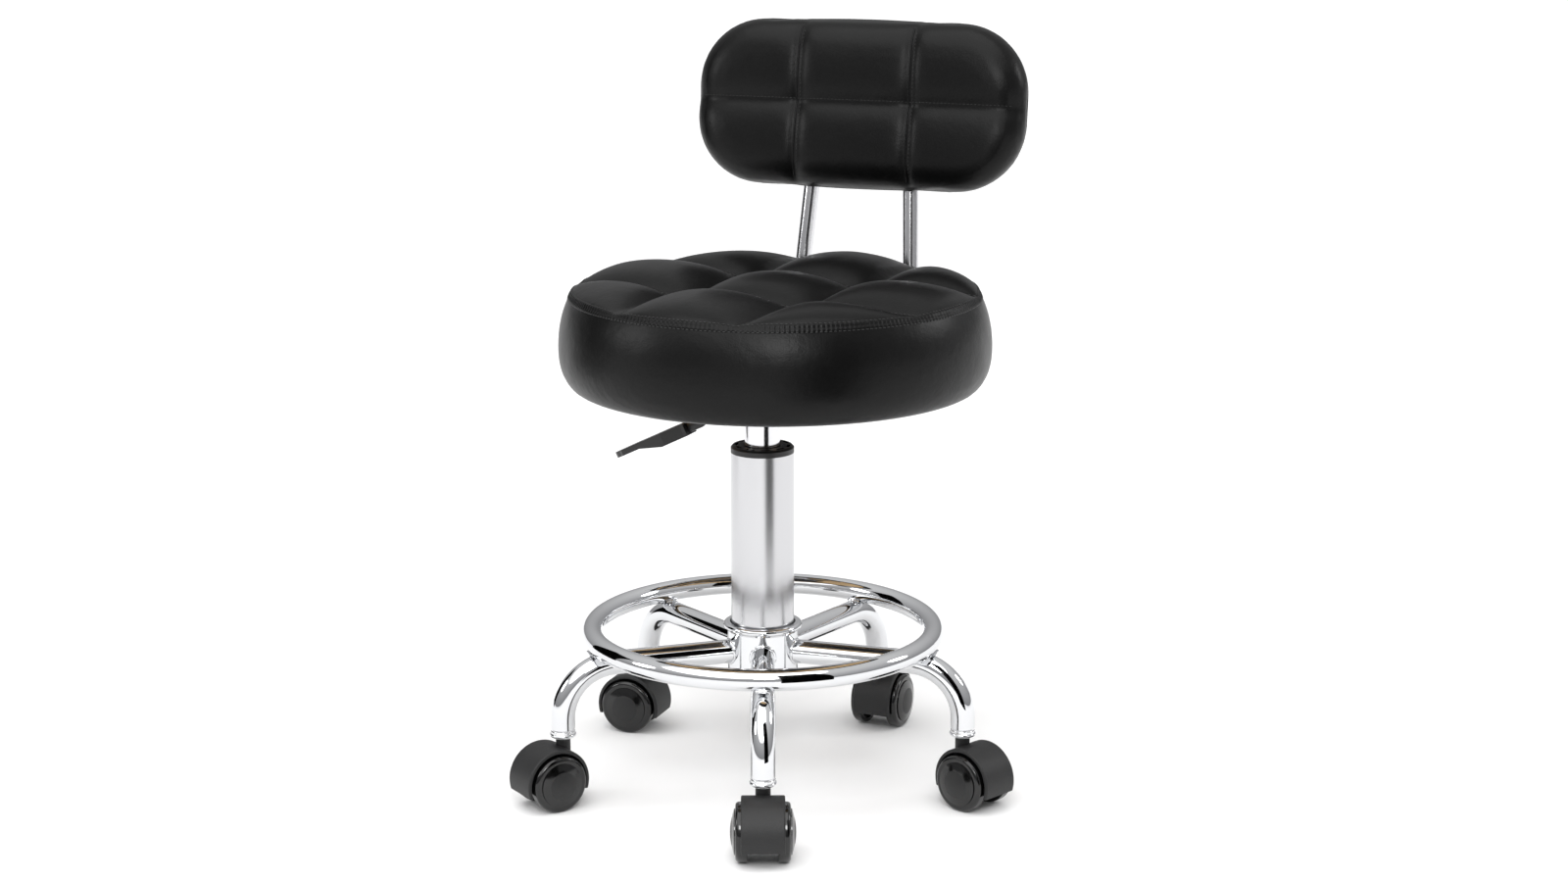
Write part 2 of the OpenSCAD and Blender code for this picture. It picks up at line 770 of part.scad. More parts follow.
// Two saddles that hold both rods up against the board
module back_clamps() {
    pad_top_z = board_z;
    color([0.12, 0.12, 0.12])
        for (y = clamp_ys)
            difference() {
                translate([-clamp_w / 2, y - clamp_depth / 2, clamp_bottom_z])
                    cube([clamp_w, clamp_depth, pad_top_z - clamp_bottom_z]);
                for (side = [-1, 1]) {
                    translate([side * back_rod_span / 2, y - clamp_depth, back_rod_z])
                        rotate([-90, 0, 0]) cylinder(d = back_rod_d + 2 * fit_gap, h = 2 * clamp_depth);
                    translate([side * clamp_bolt_at, y, clamp_bottom_z - 1])
                        cylinder(d = back_bolt_d + 2 * fit_gap, h = pad_top_z - clamp_bottom_z + 2);
                }
            }
}

module clamp_bolts() {
    color([0.5, 0.5, 0.5])
        for (y = clamp_ys, x = [-clamp_bolt_at, clamp_bolt_at])
            translate([x, y, clamp_bottom_z])
                bolt(back_bolt_d, board_z - clamp_bottom_z + board_t - 2, back_bolt_head_d, 2.6);
}

// Plywood stiffener in front of the rods
module backrest_board() {
    color([0.75, 0.6, 0.4])
        difference() {
            at_lean() translate([0, back_split_y, back_up])
                rotate([90, 0, 0]) round_plate(back_board_w, back_board_h, back_board_corner, back_board_t);
            for (side = [-1, 1])
                at_back_bolts(side) cylinder(d = back_bolt_d + 2 * fit_gap, h = back_rod_d + back_board_t - 1);
        }
}

// The whole padded form, round at its corners and edges, drawn in by inset
module pad_form(inset) {
    at_lean() translate([0, back_y, back_up])
        hull()
            for (x = [-1, 1], z = [-1, 1], y = [-1, 1])
                translate([x * (back_w / 2 - back_corner), y * (back_t / 2 - back_edge_r),
                           z * (back_h / 2 - back_corner)])
                    rotate([90, 0, 0])
                        rotate_extrude($fn = 32) translate([back_corner - back_edge_r, 0])
                            circle(r = back_edge_r - inset, $fn = 24);
}

// Channel for a rod's straight run, with a soft gap round it
module rod_channel(side, d) {
    at_back_rod(side) at_lean() translate([0, back_bend_r, 0])
        cylinder(d = d + 2 * soft_gap, h = back_rod_rise + soft_gap);
}

// Foam round the board and the rods' ends
module backrest_foam() {
    color([0.9, 0.85, 0.6])
        difference() {
            pad_form(foam_inset);
            at_lean() translate([0, back_split_y + soft_gap, back_up])
                rotate([90, 0, 0])
                    round_plate(back_board_w + 2 * soft_gap, back_board_h + 2 * soft_gap,
                                back_board_corner + soft_gap, back_board_t + 2 * soft_gap);
            for (side = [-1, 1]) {
                rod_channel(side, back_rod_d);
                at_back_bolts(side)
                    translate([0, 0, -back_bolt_head_t - 2])
                        cylinder(d = back_bolt_head_d + 2 * soft_gap, h = back_bolt_head_t + 5);
            }
        }
}

// Sewn cover round the foam, open where the rods come in
module backrest_cover() {
    color([0.06, 0.06, 0.06])
        difference() {
            pad_form(0);
            pad_form(cover_t);
            for (side = [-1, 1]) rod_channel(side, back_rod_d);
        }
}

module backrest_bolts() {
    color([0.5, 0.5, 0.5])
        for (side = [-1, 1])
            at_back_bolts(side)
                bolt(back_bolt_d, back_rod_d + back_board_t - 2, back_bolt_head_d, back_bolt_head_t);
}

// ---- Casters ----

// Steel pin with a shoulder washer under the leg and a retaining ring under the hood's boss
module caster_stem(i) {
    low_z = boss_z - turn_gap - stem_ring_t - 1;
    color([0.1, 0.1, 0.1])
        at_caster(i) {
            translate([0, 0, low_z]) cylinder(d = stem_d, h = stem_top_z - low_z);
            ring(neck_d / 2, stem_d / 2 - 0.01, leg_end_z - washer_t, washer_t);
            ring(stem_ring_d / 2, stem_d / 2 - 0.01, low_z + 1, stem_ring_t);
        }
}

// Rolled shell over both wheels, open underneath, with a web that carries the axle and the stem
module caster_hood(i) {
    shell_in_r = hood_r - hood_wall;
    color([0.11, 0.11, 0.11])
        at_caster(i)
            difference() {
                union() {
                    at_axle()
                        rotate_extrude()
                            union() {
                                translate([shell_in_r, -hood_w / 2])
                                    square([hood_wall - hood_round, hood_w]);
                                translate([shell_in_r, -hood_w / 2 + hood_round])
                                    square([hood_wall, hood_w - 2 * hood_round]);
                                for (s = [-1, 1])
                                    translate([hood_r - hood_round, s * (hood_w / 2 - hood_round)])
                                        circle(r = hood_round);
                            }
                    at_axle() cylinder(r = shell_in_r + 0.5, h = web_t, center = true);
                    at_axle() cylinder(d = axle_boss_d, h = web_w, center = true);
                    intersection() {
                        translate([0, 0, boss_z]) cylinder(d = stem_boss_d, h = hood_r + axle_z);
                        at_axle() cylinder(r = shell_in_r + 0.5, h = hood_w, center = true);
                    }
                    translate([0, 0, boss_z]) cylinder(d = neck_d, h = neck_top_z - boss_z);
                }
                translate([-2 * hood_r, -hood_w, -hood_r])
                    cube([4 * hood_r + trail, 2 * hood_w, hood_edge_z + hood_r]);
                translate([0, 0, boss_z - hood_r])
                    cylinder(r = stem_ring_d / 2 + turn_gap, h = hood_r);
                translate([0, 0, boss_z - 1]) cylinder(d = stem_d + 2 * slide_gap, h = hood_r + axle_z);
                at_axle() cylinder(d = axle_d + 2 * fit_gap, h = hood_w, center = true);
            }
}

module caster_axle(i) {
    color("silver") at_caster(i) at_axle() cylinder(d = axle_d, h = axle_len, center = true);
}

// Moulded wheel with a hollow inner side, and the domed cap pressed into its outer face
module wheel(i, side) {
    in_y = wheel_gap / 2;
    out_y = in_y + wheel_w;
    wheel_r = wheel_d / 2;
    out_round = 3;
    in_round = 1;
    cap_y = out_y - cap_sink;
    dome_r = (cap_r * cap_r + cap_dome * cap_dome) / (2 * cap_dome);
    at_caster(i) at_axle() mirror([0, 0, side > 0 ? 1 : 0]) {
        color([0.05, 0.05, 0.05])
            rotate_extrude()
                difference() {
                    union() {
                        translate([0, in_y]) square([wheel_r - out_round, wheel_w]);
                        translate([0, in_y]) square([wheel_r - in_round, wheel_w - out_round]);
                        translate([0, in_y + in_round]) square([wheel_r, wheel_w - in_round - out_round]);
                        translate([wheel_r - in_round, in_y + in_round]) circle(r = in_round);
                        translate([wheel_r - out_round, out_y - out_round]) circle(r = out_round);
                    }
                    translate([0, in_y - 1]) square([hub_hole_r, axle_len / 2 - in_y + 1.3]);
                    translate([axle_d / 2 + 3.5, in_y - 1]) square([wheel_r - 3.5 - axle_d / 2 - 3.5, 5]);
                    translate([0, cap_y]) square([cap_r + fit_gap, cap_sink + 1]);
                }
        color([0.12, 0.12, 0.12]) {
            translate([0, 0, cap_y]) cylinder(r = cap_r, h = cap_sink + cap_edge);
            intersection() {
                translate([0, 0, out_y + cap_edge + cap_dome - dome_r]) sphere(r = dome_r, $fn = 96);
                translate([0, 0, out_y + cap_edge - 0.01]) cylinder(r = cap_r, h = cap_dome + 1);
            }
        }
    }
}

// ---- Drawing: one line for each node, or one for each group of like nodes ----

base_hub();
foot_ring();
caster_sockets();
outer_column();
guide_bush();
bearing_lower_race();
bearing_ball_cage();
bearing_upper_race();
piston_rod();
bump_rubber();
rod_clip();
gas_cylinder();
cylinder_gland();
valve_button();
seat_plate();
plate_bolts();
lever_pin();
lever_rod();
lever_handle();
seat_board();
seat_foam();
seat_cover();
back_rod_left();
back_rod_right();
back_clamps();
clamp_bolts();
backrest_board();
backrest_foam();
backrest_cover();
backrest_bolts();
for (i = LEGS) {
    leg(i);
    caster_stem(i);
    caster_hood(i);
    caster_axle(i);
    wheel(i, -1);
    wheel(i, 1);
}
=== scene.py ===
"""Adjustable swivel stool: a tufted round seat and a padded backrest on a gas lift,
over a chromed five-leg base with a foot ring and twin-wheel casters."""

import json
import math

import bmesh
import bpy
from mathutils import Matrix, Vector
from mathutils.bvhtree import BVHTree


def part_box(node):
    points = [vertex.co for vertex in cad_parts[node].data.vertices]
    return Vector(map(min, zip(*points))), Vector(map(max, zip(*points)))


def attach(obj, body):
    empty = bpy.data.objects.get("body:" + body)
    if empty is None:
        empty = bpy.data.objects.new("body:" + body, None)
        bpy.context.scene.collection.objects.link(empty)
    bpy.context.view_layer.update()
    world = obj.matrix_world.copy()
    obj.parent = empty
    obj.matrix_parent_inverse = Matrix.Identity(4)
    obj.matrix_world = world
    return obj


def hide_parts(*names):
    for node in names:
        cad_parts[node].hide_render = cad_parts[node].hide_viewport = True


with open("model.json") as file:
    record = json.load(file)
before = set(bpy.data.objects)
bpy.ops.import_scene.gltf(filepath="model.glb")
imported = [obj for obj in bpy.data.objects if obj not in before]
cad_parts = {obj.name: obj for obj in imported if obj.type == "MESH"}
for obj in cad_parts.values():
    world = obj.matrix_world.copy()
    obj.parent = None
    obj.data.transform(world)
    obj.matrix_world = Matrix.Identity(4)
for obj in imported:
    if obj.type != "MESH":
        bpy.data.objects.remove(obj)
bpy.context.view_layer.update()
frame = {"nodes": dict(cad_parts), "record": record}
nodes = frame["nodes"]
LEGS = range(1, 6)


# ---- Studio ----
# A pale paper floor under a ceiling of diffusers, with three small softboxes. Black flags
# stand beside the camera, where no view shows them: polished steel gets its dark lines from them.


def linear(colour):
    """The linear values of an sRGB hex colour, with alpha."""
    parts = [int(colour[i : i + 2], 16) / 255 for i in (1, 3, 5)]
    return [c / 12.92 if c <= 0.04045 else ((c + 0.055) / 1.055) ** 2.4 for c in parts] + [1.0]


def add_node(tree, kind, inputs=None, **settings):
    """Adds a node, with its settings, and gives each named input a value or a link."""
    node = tree.nodes.new(kind)
    for name, value in settings.items():
        setattr(node, name, value)
    for name, value in (inputs or {}).items():
        if isinstance(value, bpy.types.NodeSocket):
            tree.links.new(value, node.inputs[name])
        else:
            node.inputs[name].default_value = value
    return node


def new_material(name, **sockets):
    """A material with one Principled shader, and the values of its sockets."""
    material = bpy.data.materials.new(name)
    material.use_nodes = True
    shader = material.node_tree.nodes["Principled BSDF"]
    for socket, value in sockets.items():
        shader.inputs[socket.replace("_", " ")].default_value = value
    return material, material.node_tree, shader


def new_object(name, vertices, faces, edges=()):
    """An object at the origin whose mesh holds these points and faces."""
    mesh = bpy.data.meshes.new(name)
    mesh.from_pydata(vertices, edges, faces)
    mesh.validate()
    piece = bpy.data.objects.new(name, mesh)
    bpy.context.scene.collection.objects.link(piece)
    return piece


view_turn = math.radians(21.5)
camera_data = bpy.data.cameras.new("camera")
camera_data.lens = 64.24
camera_data.sensor_width = 36
camera = bpy.data.objects.new("camera", camera_data)
camera.location = Matrix.Rotation(view_turn, 4, "Z") @ Vector((0, -2.1455, 0.7624))
camera.rotation_euler = (math.radians(77.34), 0, view_turn - math.radians(0.453))
bpy.context.scene.collection.objects.link(camera)
bpy.context.scene.camera = camera
bpy.context.scene.view_settings.view_transform = "Standard"

paper, paper_tree, paper_shader = new_material(
    "white_paper", Base_Color=linear("#f7f7f7"), Roughness=0.9
)
fibre = add_node(paper_tree, "ShaderNodeTexNoise", {"Scale": 900.0, "Detail": 3.0})
fibre_bump = add_node(paper_tree, "ShaderNodeBump", {"Strength": 0.02, "Height": fibre.outputs["Fac"]})
paper_tree.links.new(fibre_bump.outputs["Normal"], paper_shader.inputs["Normal"])
floor_half = 30
floor = new_object(
    "floor",
    [(x * floor_half, y * floor_half, 0) for x, y in ((-1, -1), (1, -1), (1, 1), (-1, 1))],
    [(0, 1, 2, 3)],
)
floor.data.materials.append(paper)

world = bpy.data.worlds.new("studio_room")
world.use_nodes = True
world_tree = world.node_tree
sky = add_node(world_tree, "ShaderNodeTexCoord").outputs["Generated"]
sky_height = add_node(world_tree, "ShaderNodeSeparateXYZ", {"Vector": sky}).outputs["Z"]
sky_share = add_node(
    world_tree, "ShaderNodeMapRange", {"Value": sky_height, "From Min": -0.02, "From Max": 0.75}
)
sky_colour = add_node(
    world_tree, "ShaderNodeMix",
    {"Factor": sky_share.outputs["Result"], "A": linear("#a6a6a8"), "B": linear("#ffffff")},
    data_type="RGBA",
)
world_tree.links.new(sky_colour.outputs["Result"], world_tree.nodes["Background"].inputs["Color"])
world_tree.nodes["Background"].inputs["Strength"].default_value = 0.75
bpy.context.scene.world = world

# A broad even light from the front left, as from a ceiling of diffusers
ceiling_data = bpy.data.lights.new("ceiling", "SUN")
ceiling_data.energy = 2.1
ceiling_data.angle = math.radians(75)
ceiling = bpy.data.objects.new("ceiling", ceiling_data)
ceiling.rotation_euler = (math.radians(24), math.radians(-10), view_turn)
bpy.context.scene.collection.objects.link(ceiling)

# Each softbox: its place seen from the camera's direction, its width and its power
seat_middle = Vector((0, 0.02, 0.38))
for name, side, out, height, size, power in (
    ("softbox_front", 0.05, -1.7, 1.15, 0.5, 9.0),
    ("softbox_left", -1.9, -0.3, 1.0, 0.6, 6.0),
    ("softbox_right", 2.0, 0.3, 1.2, 0.6, 7.0),
):
    light_data = bpy.data.lights.new(name, "AREA")
    light_data.shape = "DISK"
    light_data.size = size
    light_data.energy = power
    light = bpy.data.objects.new(name, light_data)
    light.location = Matrix.Rotation(view_turn, 4, "Z") @ Vector((side, out, height))
    light.rotation_euler = (light.location - seat_middle).to_track_quat("Z", "Y").to_euler()
    bpy.context.scene.collection.objects.link(light)

felt, _, felt_shader = new_material("black_felt", Base_Color=linear("#050505"), Roughness=1.0)
felt_shader.inputs["Specular IOR Level"].default_value = 0.0
# Each flag: its turn from the camera's direction, half its spread, its distance and its height
for name, turn, spread, distance, height in (
    ("flag_right", 25.0, 15.0, 0.75, 1.1),
    ("flag_left", -112.0, 14.0, 1.5, 1.2),
):
    corners = []
    for edge in (-spread, spread):
        heading = view_turn + math.radians(turn + edge)
        foot = Vector((math.sin(heading), -math.cos(heading), 0)) * distance
        corners += [foot, foot + Vector((0, 0, height))]
    flag = new_object(name, corners, [(0, 2, 3, 1)])
    flag.data.materials.append(felt)
    flag.visible_camera = False
    flag.visible_diffuse = False
    flag.visible_shadow = False


# ---- Base: hub, legs and foot ring ----
# Bent steel tubes, welded to a turned hub and to a tube ring, then polished and chromed
# as one piece, so that the plating runs over the welds as well.


def dress(material, names):
    """Gives CAD nodes a material."""
    for name in names:
        for place in nodes[name].material_slots:
            place.material = material


# Decorative chromium over polished nickel: a near-white mirror with a faint cold tint,
# and a slight waviness left by the polishing wheel, some 25 mm long.
chrome, chrome_tree, chrome_shader = new_material(
    "chromed_steel", Base_Color=linear("#d9dadc"), Metallic=1.0, Roughness=0.04
)
chrome_place = add_node(chrome_tree, "ShaderNodeTexCoord").outputs["Object"]
polish_wave = add_node(
    chrome_tree, "ShaderNodeTexNoise", {"Vector": chrome_place, "Scale": 40.0, "Detail": 2.0}
)
polish_bump = add_node(
    chrome_tree, "ShaderNodeBump",
    {"Strength": 0.12, "Distance": 0.0006, "Height": polish_wave.outputs["Fac"]},
)
chrome_haze = add_node(
    chrome_tree, "ShaderNodeTexNoise", {"Vector": chrome_place, "Scale": 220.0, "Detail": 4.0}
)
chrome_rough = add_node(
    chrome_tree, "ShaderNodeMapRange",
    {"Value": chrome_haze.outputs["Fac"], "To Min": 0.02, "To Max": 0.07},
)
chrome_tree.links.new(polish_bump.outputs["Normal"], chrome_shader.inputs["Normal"])
chrome_tree.links.new(chrome_rough.outputs["Result"], chrome_shader.inputs["Roughness"])
dress(chrome, ["base_hub", "foot_ring"] + [f"leg_{i}" for i in LEGS])


def smooth(piece):
    """Shades every face of a piece smooth."""
    for polygon in piece.data.polygons:
        polygon.use_smooth = True


def run_nodes(piece, tree, **values):
    """Runs a Geometry Nodes tree on a piece and keeps its result as the piece's mesh."""
    modifier = piece.modifiers.new(tree.name, "NODES")
    modifier.node_group = tree
    for item in tree.interface.items_tree:
        if item.item_type == "SOCKET" and item.in_out == "INPUT" and item.name in values:
            modifier[item.identifier] = values[item.name]
    depsgraph = bpy.context.evaluated_depsgraph_get()
    result = bpy.data.meshes.new_from_object(piece.evaluated_get(depsgraph))
    piece.modifiers.remove(modifier)
    piece.data = result
    smooth(piece)


def new_tree(name, sockets):
    """A Geometry Nodes tree with geometry in and out and these (name, kind) inputs."""
    tree = bpy.data.node_groups.new(name, "GeometryNodeTree")
    tree.interface.new_socket("Geometry", in_out="INPUT", socket_type="NodeSocketGeometry")
    for label, kind in sockets:
        tree.interface.new_socket(label, in_out="INPUT", socket_type=kind)
    tree.interface.new_socket("Geometry", in_out="OUTPUT", socket_type="NodeSocketGeometry")
    return tree, tree.nodes.new("NodeGroupInput").outputs, tree.nodes.new("NodeGroupOutput")


# A rounded bead along each line of points: rippled, as a torch leaves it, or smooth
bead_tree, bead_in, bead_out = new_tree(
    "rounded_bead",
    [("Radius", "NodeSocketFloat"), ("Ripple", "NodeSocketFloat"), ("Material", "NodeSocketMaterial")],
)
bead_path = add_node(bead_tree, "GeometryNodeMeshToCurve", {"Mesh": bead_in["Geometry"]})
bead_profile = add_node(
    bead_tree, "GeometryNodeCurvePrimitiveCircle", {"Resolution": 10, "Radius": bead_in["Radius"]}
)
bead_mesh = add_node(
    bead_tree, "GeometryNodeCurveToMesh",
    {"Curve": bead_path.outputs["Curve"], "Profile Curve": bead_profile.outputs["Curve"]},
)
bead_noise = add_node(bead_tree, "ShaderNodeTexNoise", {"Scale": 450.0, "Detail": 1.0})
bead_push = add_node(
    bead_tree, "ShaderNodeVectorMath",
    {0: bead_noise.outputs["Color"], 1: (0.5, 0.5, 0.5)}, operation="SUBTRACT",
)
bead_ripple = add_node(
    bead_tree, "ShaderNodeVectorMath",
    {0: bead_push.outputs["Vector"], "Scale": bead_in["Ripple"]}, operation="SCALE",
)
bead_moved = add_node(
    bead_tree, "GeometryNodeSetPosition",
    {"Geometry": bead_mesh.outputs["Mesh"], "Offset": bead_ripple.outputs["Vector"]},
)
bead_real = add_node(
    bead_tree, "GeometryNodeRealizeInstances", {"Geometry": bead_moved.outputs["Geometry"]}
)
bead_done = add_node(
    bead_tree, "GeometryNodeSetMaterial",
    {"Geometry": bead_real.outputs["Geometry"], "Material": bead_in["Material"]},
)
bead_tree.links.new(bead_done.outputs["Geometry"], bead_out.inputs["Geometry"])


def new_path(name, lines, closed):
    """An object made of edges only, along one or more lines of points."""
    points, edges = [], []
    for line in lines:
        first = len(points)
        points += line
        edges += [(first + k, first + k + 1) for k in range(len(line) - 1)]
        if closed:
            edges.append((len(points) - 1, first))
    return new_object(name, points, [], edges)


leg_r = 0.0095
hub_wall = 0.003
column_low, column_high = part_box("outer_column")
hub_r = (column_high.x - column_low.x) / 2 + hub_wall
leg_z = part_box("leg_1")[1].z - leg_r
first_leg_turn = math.radians(-68.5)
ring_low, ring_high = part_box("foot_ring")
ring_tube_r = (ring_high.z - ring_low.z) / 2
ring_r = (ring_high.x - ring_low.x) / 2 - ring_tube_r
ring_z = (ring_high.z + ring_low.z) / 2
hub_steps = 28
notch_out, notch_up = 0.0062, 0.0016  # from the ring's lowest line to the middle of a bead
bead_half, bead_sag = 0.0055, 0.0006
hub_beads, ring_beads = [], []
for i in LEGS:
    spin = Matrix.Rotation(first_leg_turn + math.radians(72 * (i - 1)), 3, "Z")
    loop = []
    for step in range(hub_steps):
        a = 2 * math.pi * step / hub_steps
        side = leg_r * math.sin(a)
        loop.append(spin @ Vector((math.sqrt(hub_r**2 - side**2), side, leg_z + leg_r * math.cos(a))))
    hub_beads.append(loop)
    # the ring sits on the leg's shoulder, and a short bead fills the notch on each side of it
    for notch in (-1, 1):
        centre = Vector((ring_r + notch * notch_out, 0, ring_z - ring_tube_r + notch_up))
        places = [t / 5 - 1 for t in range(11)]
        ring_beads.append(
            [spin @ (centre + Vector((0, bead_half * t, -bead_sag * t**2))) for t in places]
        )
hub_welds = new_path("hub_welds", hub_beads, closed=True)
run_nodes(hub_welds, bead_tree, Radius=0.0013, Ripple=0.0005, Material=chrome)
ring_welds = new_path("ring_welds", ring_beads, closed=False)
run_nodes(ring_welds, bead_tree, Radius=0.0017, Ripple=0.0009, Material=chrome)
for welds in (hub_welds, ring_welds):
    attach(welds, "base")


# ---- Outer column ----
# Drawn steel tube with a satin plating, pressed into the hub. Lengthways sanding before
# the plating leaves lines about 0.4 mm apart, which stretch the highlights sideways.
satin, satin_tree, satin_shader = new_material(
    "satin_plated_steel", Base_Color=linear("#c6c6c8"), Metallic=1.0, Roughness=0.24, Anisotropic=0.35
)
satin_place = add_node(satin_tree, "ShaderNodeTexCoord").outputs["Object"]
sanding_map = add_node(satin_tree, "ShaderNodeMapping", {"Vector": satin_place, "Scale": (1.0, 1.0, 0.02)})
sanding = add_node(
    satin_tree, "ShaderNodeTexNoise",
    {"Vector": sanding_map.outputs["Vector"], "Scale": 2500.0, "Detail": 2.0},
)
sanding_bump = add_node(
    satin_tree, "ShaderNodeBump", {"Strength": 0.02, "Distance": 0.0002, "Height": sanding.outputs["Fac"]}
)
sanding_rough = add_node(
    satin_tree, "ShaderNodeMapRange", {"Value": sanding.outputs["Fac"], "To Min": 0.2, "To Max": 0.26}
)
satin_tree.links.new(sanding_bump.outputs["Normal"], satin_shader.inputs["Normal"])
satin_tree.links.new(sanding_rough.outputs["Result"], satin_shader.inputs["Roughness"])
dress(satin, ["outer_column"])


# ---- Guide bush and leg plugs ----
# Injection-moulded black nylon, with the fine matte skin of a spark-eroded mould.
nylon, nylon_tree, nylon_shader = new_material(
    "moulded_nylon", Base_Color=linear("#0c0c0d"), Roughness=0.42, IOR=1.53
)
nylon_place = add_node(nylon_tree, "ShaderNodeTexCoord").outputs["Object"]
nylon_skin = add_node(
    nylon_tree, "ShaderNodeTexNoise", {"Vector": nylon_place, "Scale": 1800.0, "Detail": 3.0}
)
nylon_bump = add_node(
    nylon_tree, "ShaderNodeBump", {"Strength": 0.1, "Distance": 0.0002, "Height": nylon_skin.outputs["Fac"]}
)
nylon_rough = add_node(
    nylon_tree, "ShaderNodeMapRange", {"Value": nylon_skin.outputs["Fac"], "To Min": 0.36, "To Max": 0.5}
)
nylon_tree.links.new(nylon_bump.outputs["Normal"], nylon_shader.inputs["Normal"])
nylon_tree.links.new(nylon_rough.outputs["Result"], nylon_shader.inputs["Roughness"])
dress(nylon, ["guide_bush", "caster_sockets", "cylinder_gland", "lever_handle"])


# ---- Gas lift ----
# A hard-chromed cylinder and rod, ground round and round, so their shine is a shade
# softer than the base's, with hairlines of grinding along the circumference.
ground, ground_tree, ground_shader = new_material(
    "hard_chromed_steel", Base_Color=linear("#dcdcde"), Metallic=1.0, Roughness=0.14
)
ground_place = add_node(ground_tree, "ShaderNodeTexCoord").outputs["Object"]
grinding_map = add_node(
    ground_tree, "ShaderNodeMapping", {"Vector": ground_place, "Scale": (0.05, 0.05, 1.0)}
)
grinding = add_node(
    ground_tree, "ShaderNodeTexNoise",
    {"Vector": grinding_map.outputs["Vector"], "Scale": 3000.0, "Detail": 2.0},
)
grinding_rough = add_node(
    ground_tree, "ShaderNodeMapRange", {"Value": grinding.outputs["Fac"], "To Min": 0.1, "To Max": 0.19}
)
ground_tree.links.new(grinding_rough.outputs["Result"], ground_shader.inputs["Roughness"])
dress(ground, ["gas_cylinder", "piston_rod", "valve_button", "back_rod_left", "back_rod_right"])

# Zinc-plated bearing, bolts and pins: dull, slightly blue and patchy over some 4 mm
zinc, zinc_tree, zinc_shader = new_material(
    "zinc_plated_steel", Base_Color=linear("#a7aab0"), Metallic=1.0, Roughness=0.36
)
zinc_place = add_node(zinc_tree, "ShaderNodeTexCoord").outputs["Object"]
zinc_patch = add_node(
    zinc_tree, "ShaderNodeTexNoise", {"Vector": zinc_place, "Scale": 250.0, "Detail": 4.0}
)
zinc_colour = add_node(
    zinc_tree, "ShaderNodeMix",
    {"Factor": zinc_patch.outputs["Fac"], "A": linear("#9094a0"), "B": linear("#bcbdbd")}, data_type="RGBA",
)
zinc_rough = add_node(
    zinc_tree, "ShaderNodeMapRange", {"Value": zinc_patch.outputs["Fac"], "To Min": 0.28, "To Max": 0.45}
)
zinc_tree.links.new(zinc_colour.outputs["Result"], zinc_shader.inputs["Base Color"])
zinc_tree.links.new(zinc_rough.outputs["Result"], zinc_shader.inputs["Roughness"])
dress(zinc, ["bearing_lower_race", "bearing_upper_race", "bearing_ball_cage", "rod_clip", "plate_bolts",
             "lever_pin", "clamp_bolts", "backrest_bolts"] + [f"caster_axle_{i}" for i in LEGS])

# Moulded rubber of the bump stop: dull, with a grit of some 1 mm
rubber, rubber_tree, rubber_shader = new_material(
    "black_rubber", Base_Color=linear("#1b1b1b"), Roughness=0.8, IOR=1.52
)
rubber_grit = add_node(rubber_tree, "ShaderNodeTexNoise", {"Scale": 900.0, "Detail": 3.0})
rubber_bump = add_node(
    rubber_tree, "ShaderNodeBump",
    {"Strength": 0.15, "Distance": 0.0002, "Height": rubber_grit.outputs["Fac"]},
)
rubber_tree.links.new(rubber_bump.outputs["Normal"], rubber_shader.inputs["Normal"])
dress(rubber, ["bump_rubber"])


# ---- Seat plate, clamps, lever rod and caster stems ----
# Pressed and bent steel under black powder coat: satin, with orange peel about 1.5 mm wide.
coat, coat_tree, coat_shader = new_material(
    "black_powder_coat", Base_Color=linear("#0a0a0b"), Roughness=0.38
)
coat_place = add_node(coat_tree, "ShaderNodeTexCoord").outputs["Object"]
orange_peel = add_node(
    coat_tree, "ShaderNodeTexNoise", {"Vector": coat_place, "Scale": 650.0, "Detail": 1.5}
)
peel_bump = add_node(
    coat_tree, "ShaderNodeBump", {"Strength": 0.2, "Distance": 0.0003, "Height": orange_peel.outputs["Fac"]}
)
peel_rough = add_node(
    coat_tree, "ShaderNodeMapRange", {"Value": orange_peel.outputs["Fac"], "To Min": 0.3, "To Max": 0.45}
)
coat_tree.links.new(peel_bump.outputs["Normal"], coat_shader.inputs["Normal"])
coat_tree.links.new(peel_rough.outputs["Result"], coat_shader.inputs["Roughness"])
dress(coat, ["seat_plate", "lever_rod", "back_clamps"] + [f"caster_stem_{i}" for i in LEGS])


# ---- Casters ----
# Nylon twin-wheel casters: the hood has a coarse leathery mould texture, the wheels are
# plain and glossy, and a matte domed cap is pressed into each wheel's outer face.
hood, hood_tree, hood_shader = new_material(
    "textured_nylon", Base_Color=linear("#0b0b0c"), Roughness=0.55, IOR=1.53
)
hood_place = add_node(hood_tree, "ShaderNodeTexCoord").outputs["Object"]
# mould texture, drawn 0.9 mm wide where the real grain is 0.3 mm, so that it shows
mould_grain = add_node(hood_tree, "ShaderNodeTexVoronoi", {"Vector": hood_place, "Scale": 1100.0})
mould_bump = add_node(
    hood_tree, "ShaderNodeBump",
    {"Strength": 0.35, "Distance": 0.0003, "Height": mould_grain.outputs["Distance"]},
)
# colour follows the grain's height: its hollows are painted darker as painted shade, and its ridges lighter
# as painted highlight
mould_hollow_shade = add_node(
    hood_tree, "ShaderNodeMix",
    {"Factor": mould_grain.outputs["Distance"], "A": linear("#09090a"), "B": linear("#101011")},
    data_type="RGBA",
)
hood_tree.links.new(mould_bump.outputs["Normal"], hood_shader.inputs["Normal"])
hood_tree.links.new(mould_hollow_shade.outputs["Result"], hood_shader.inputs["Base Color"])
dress(hood, [f"caster_hood_{i}" for i in LEGS])

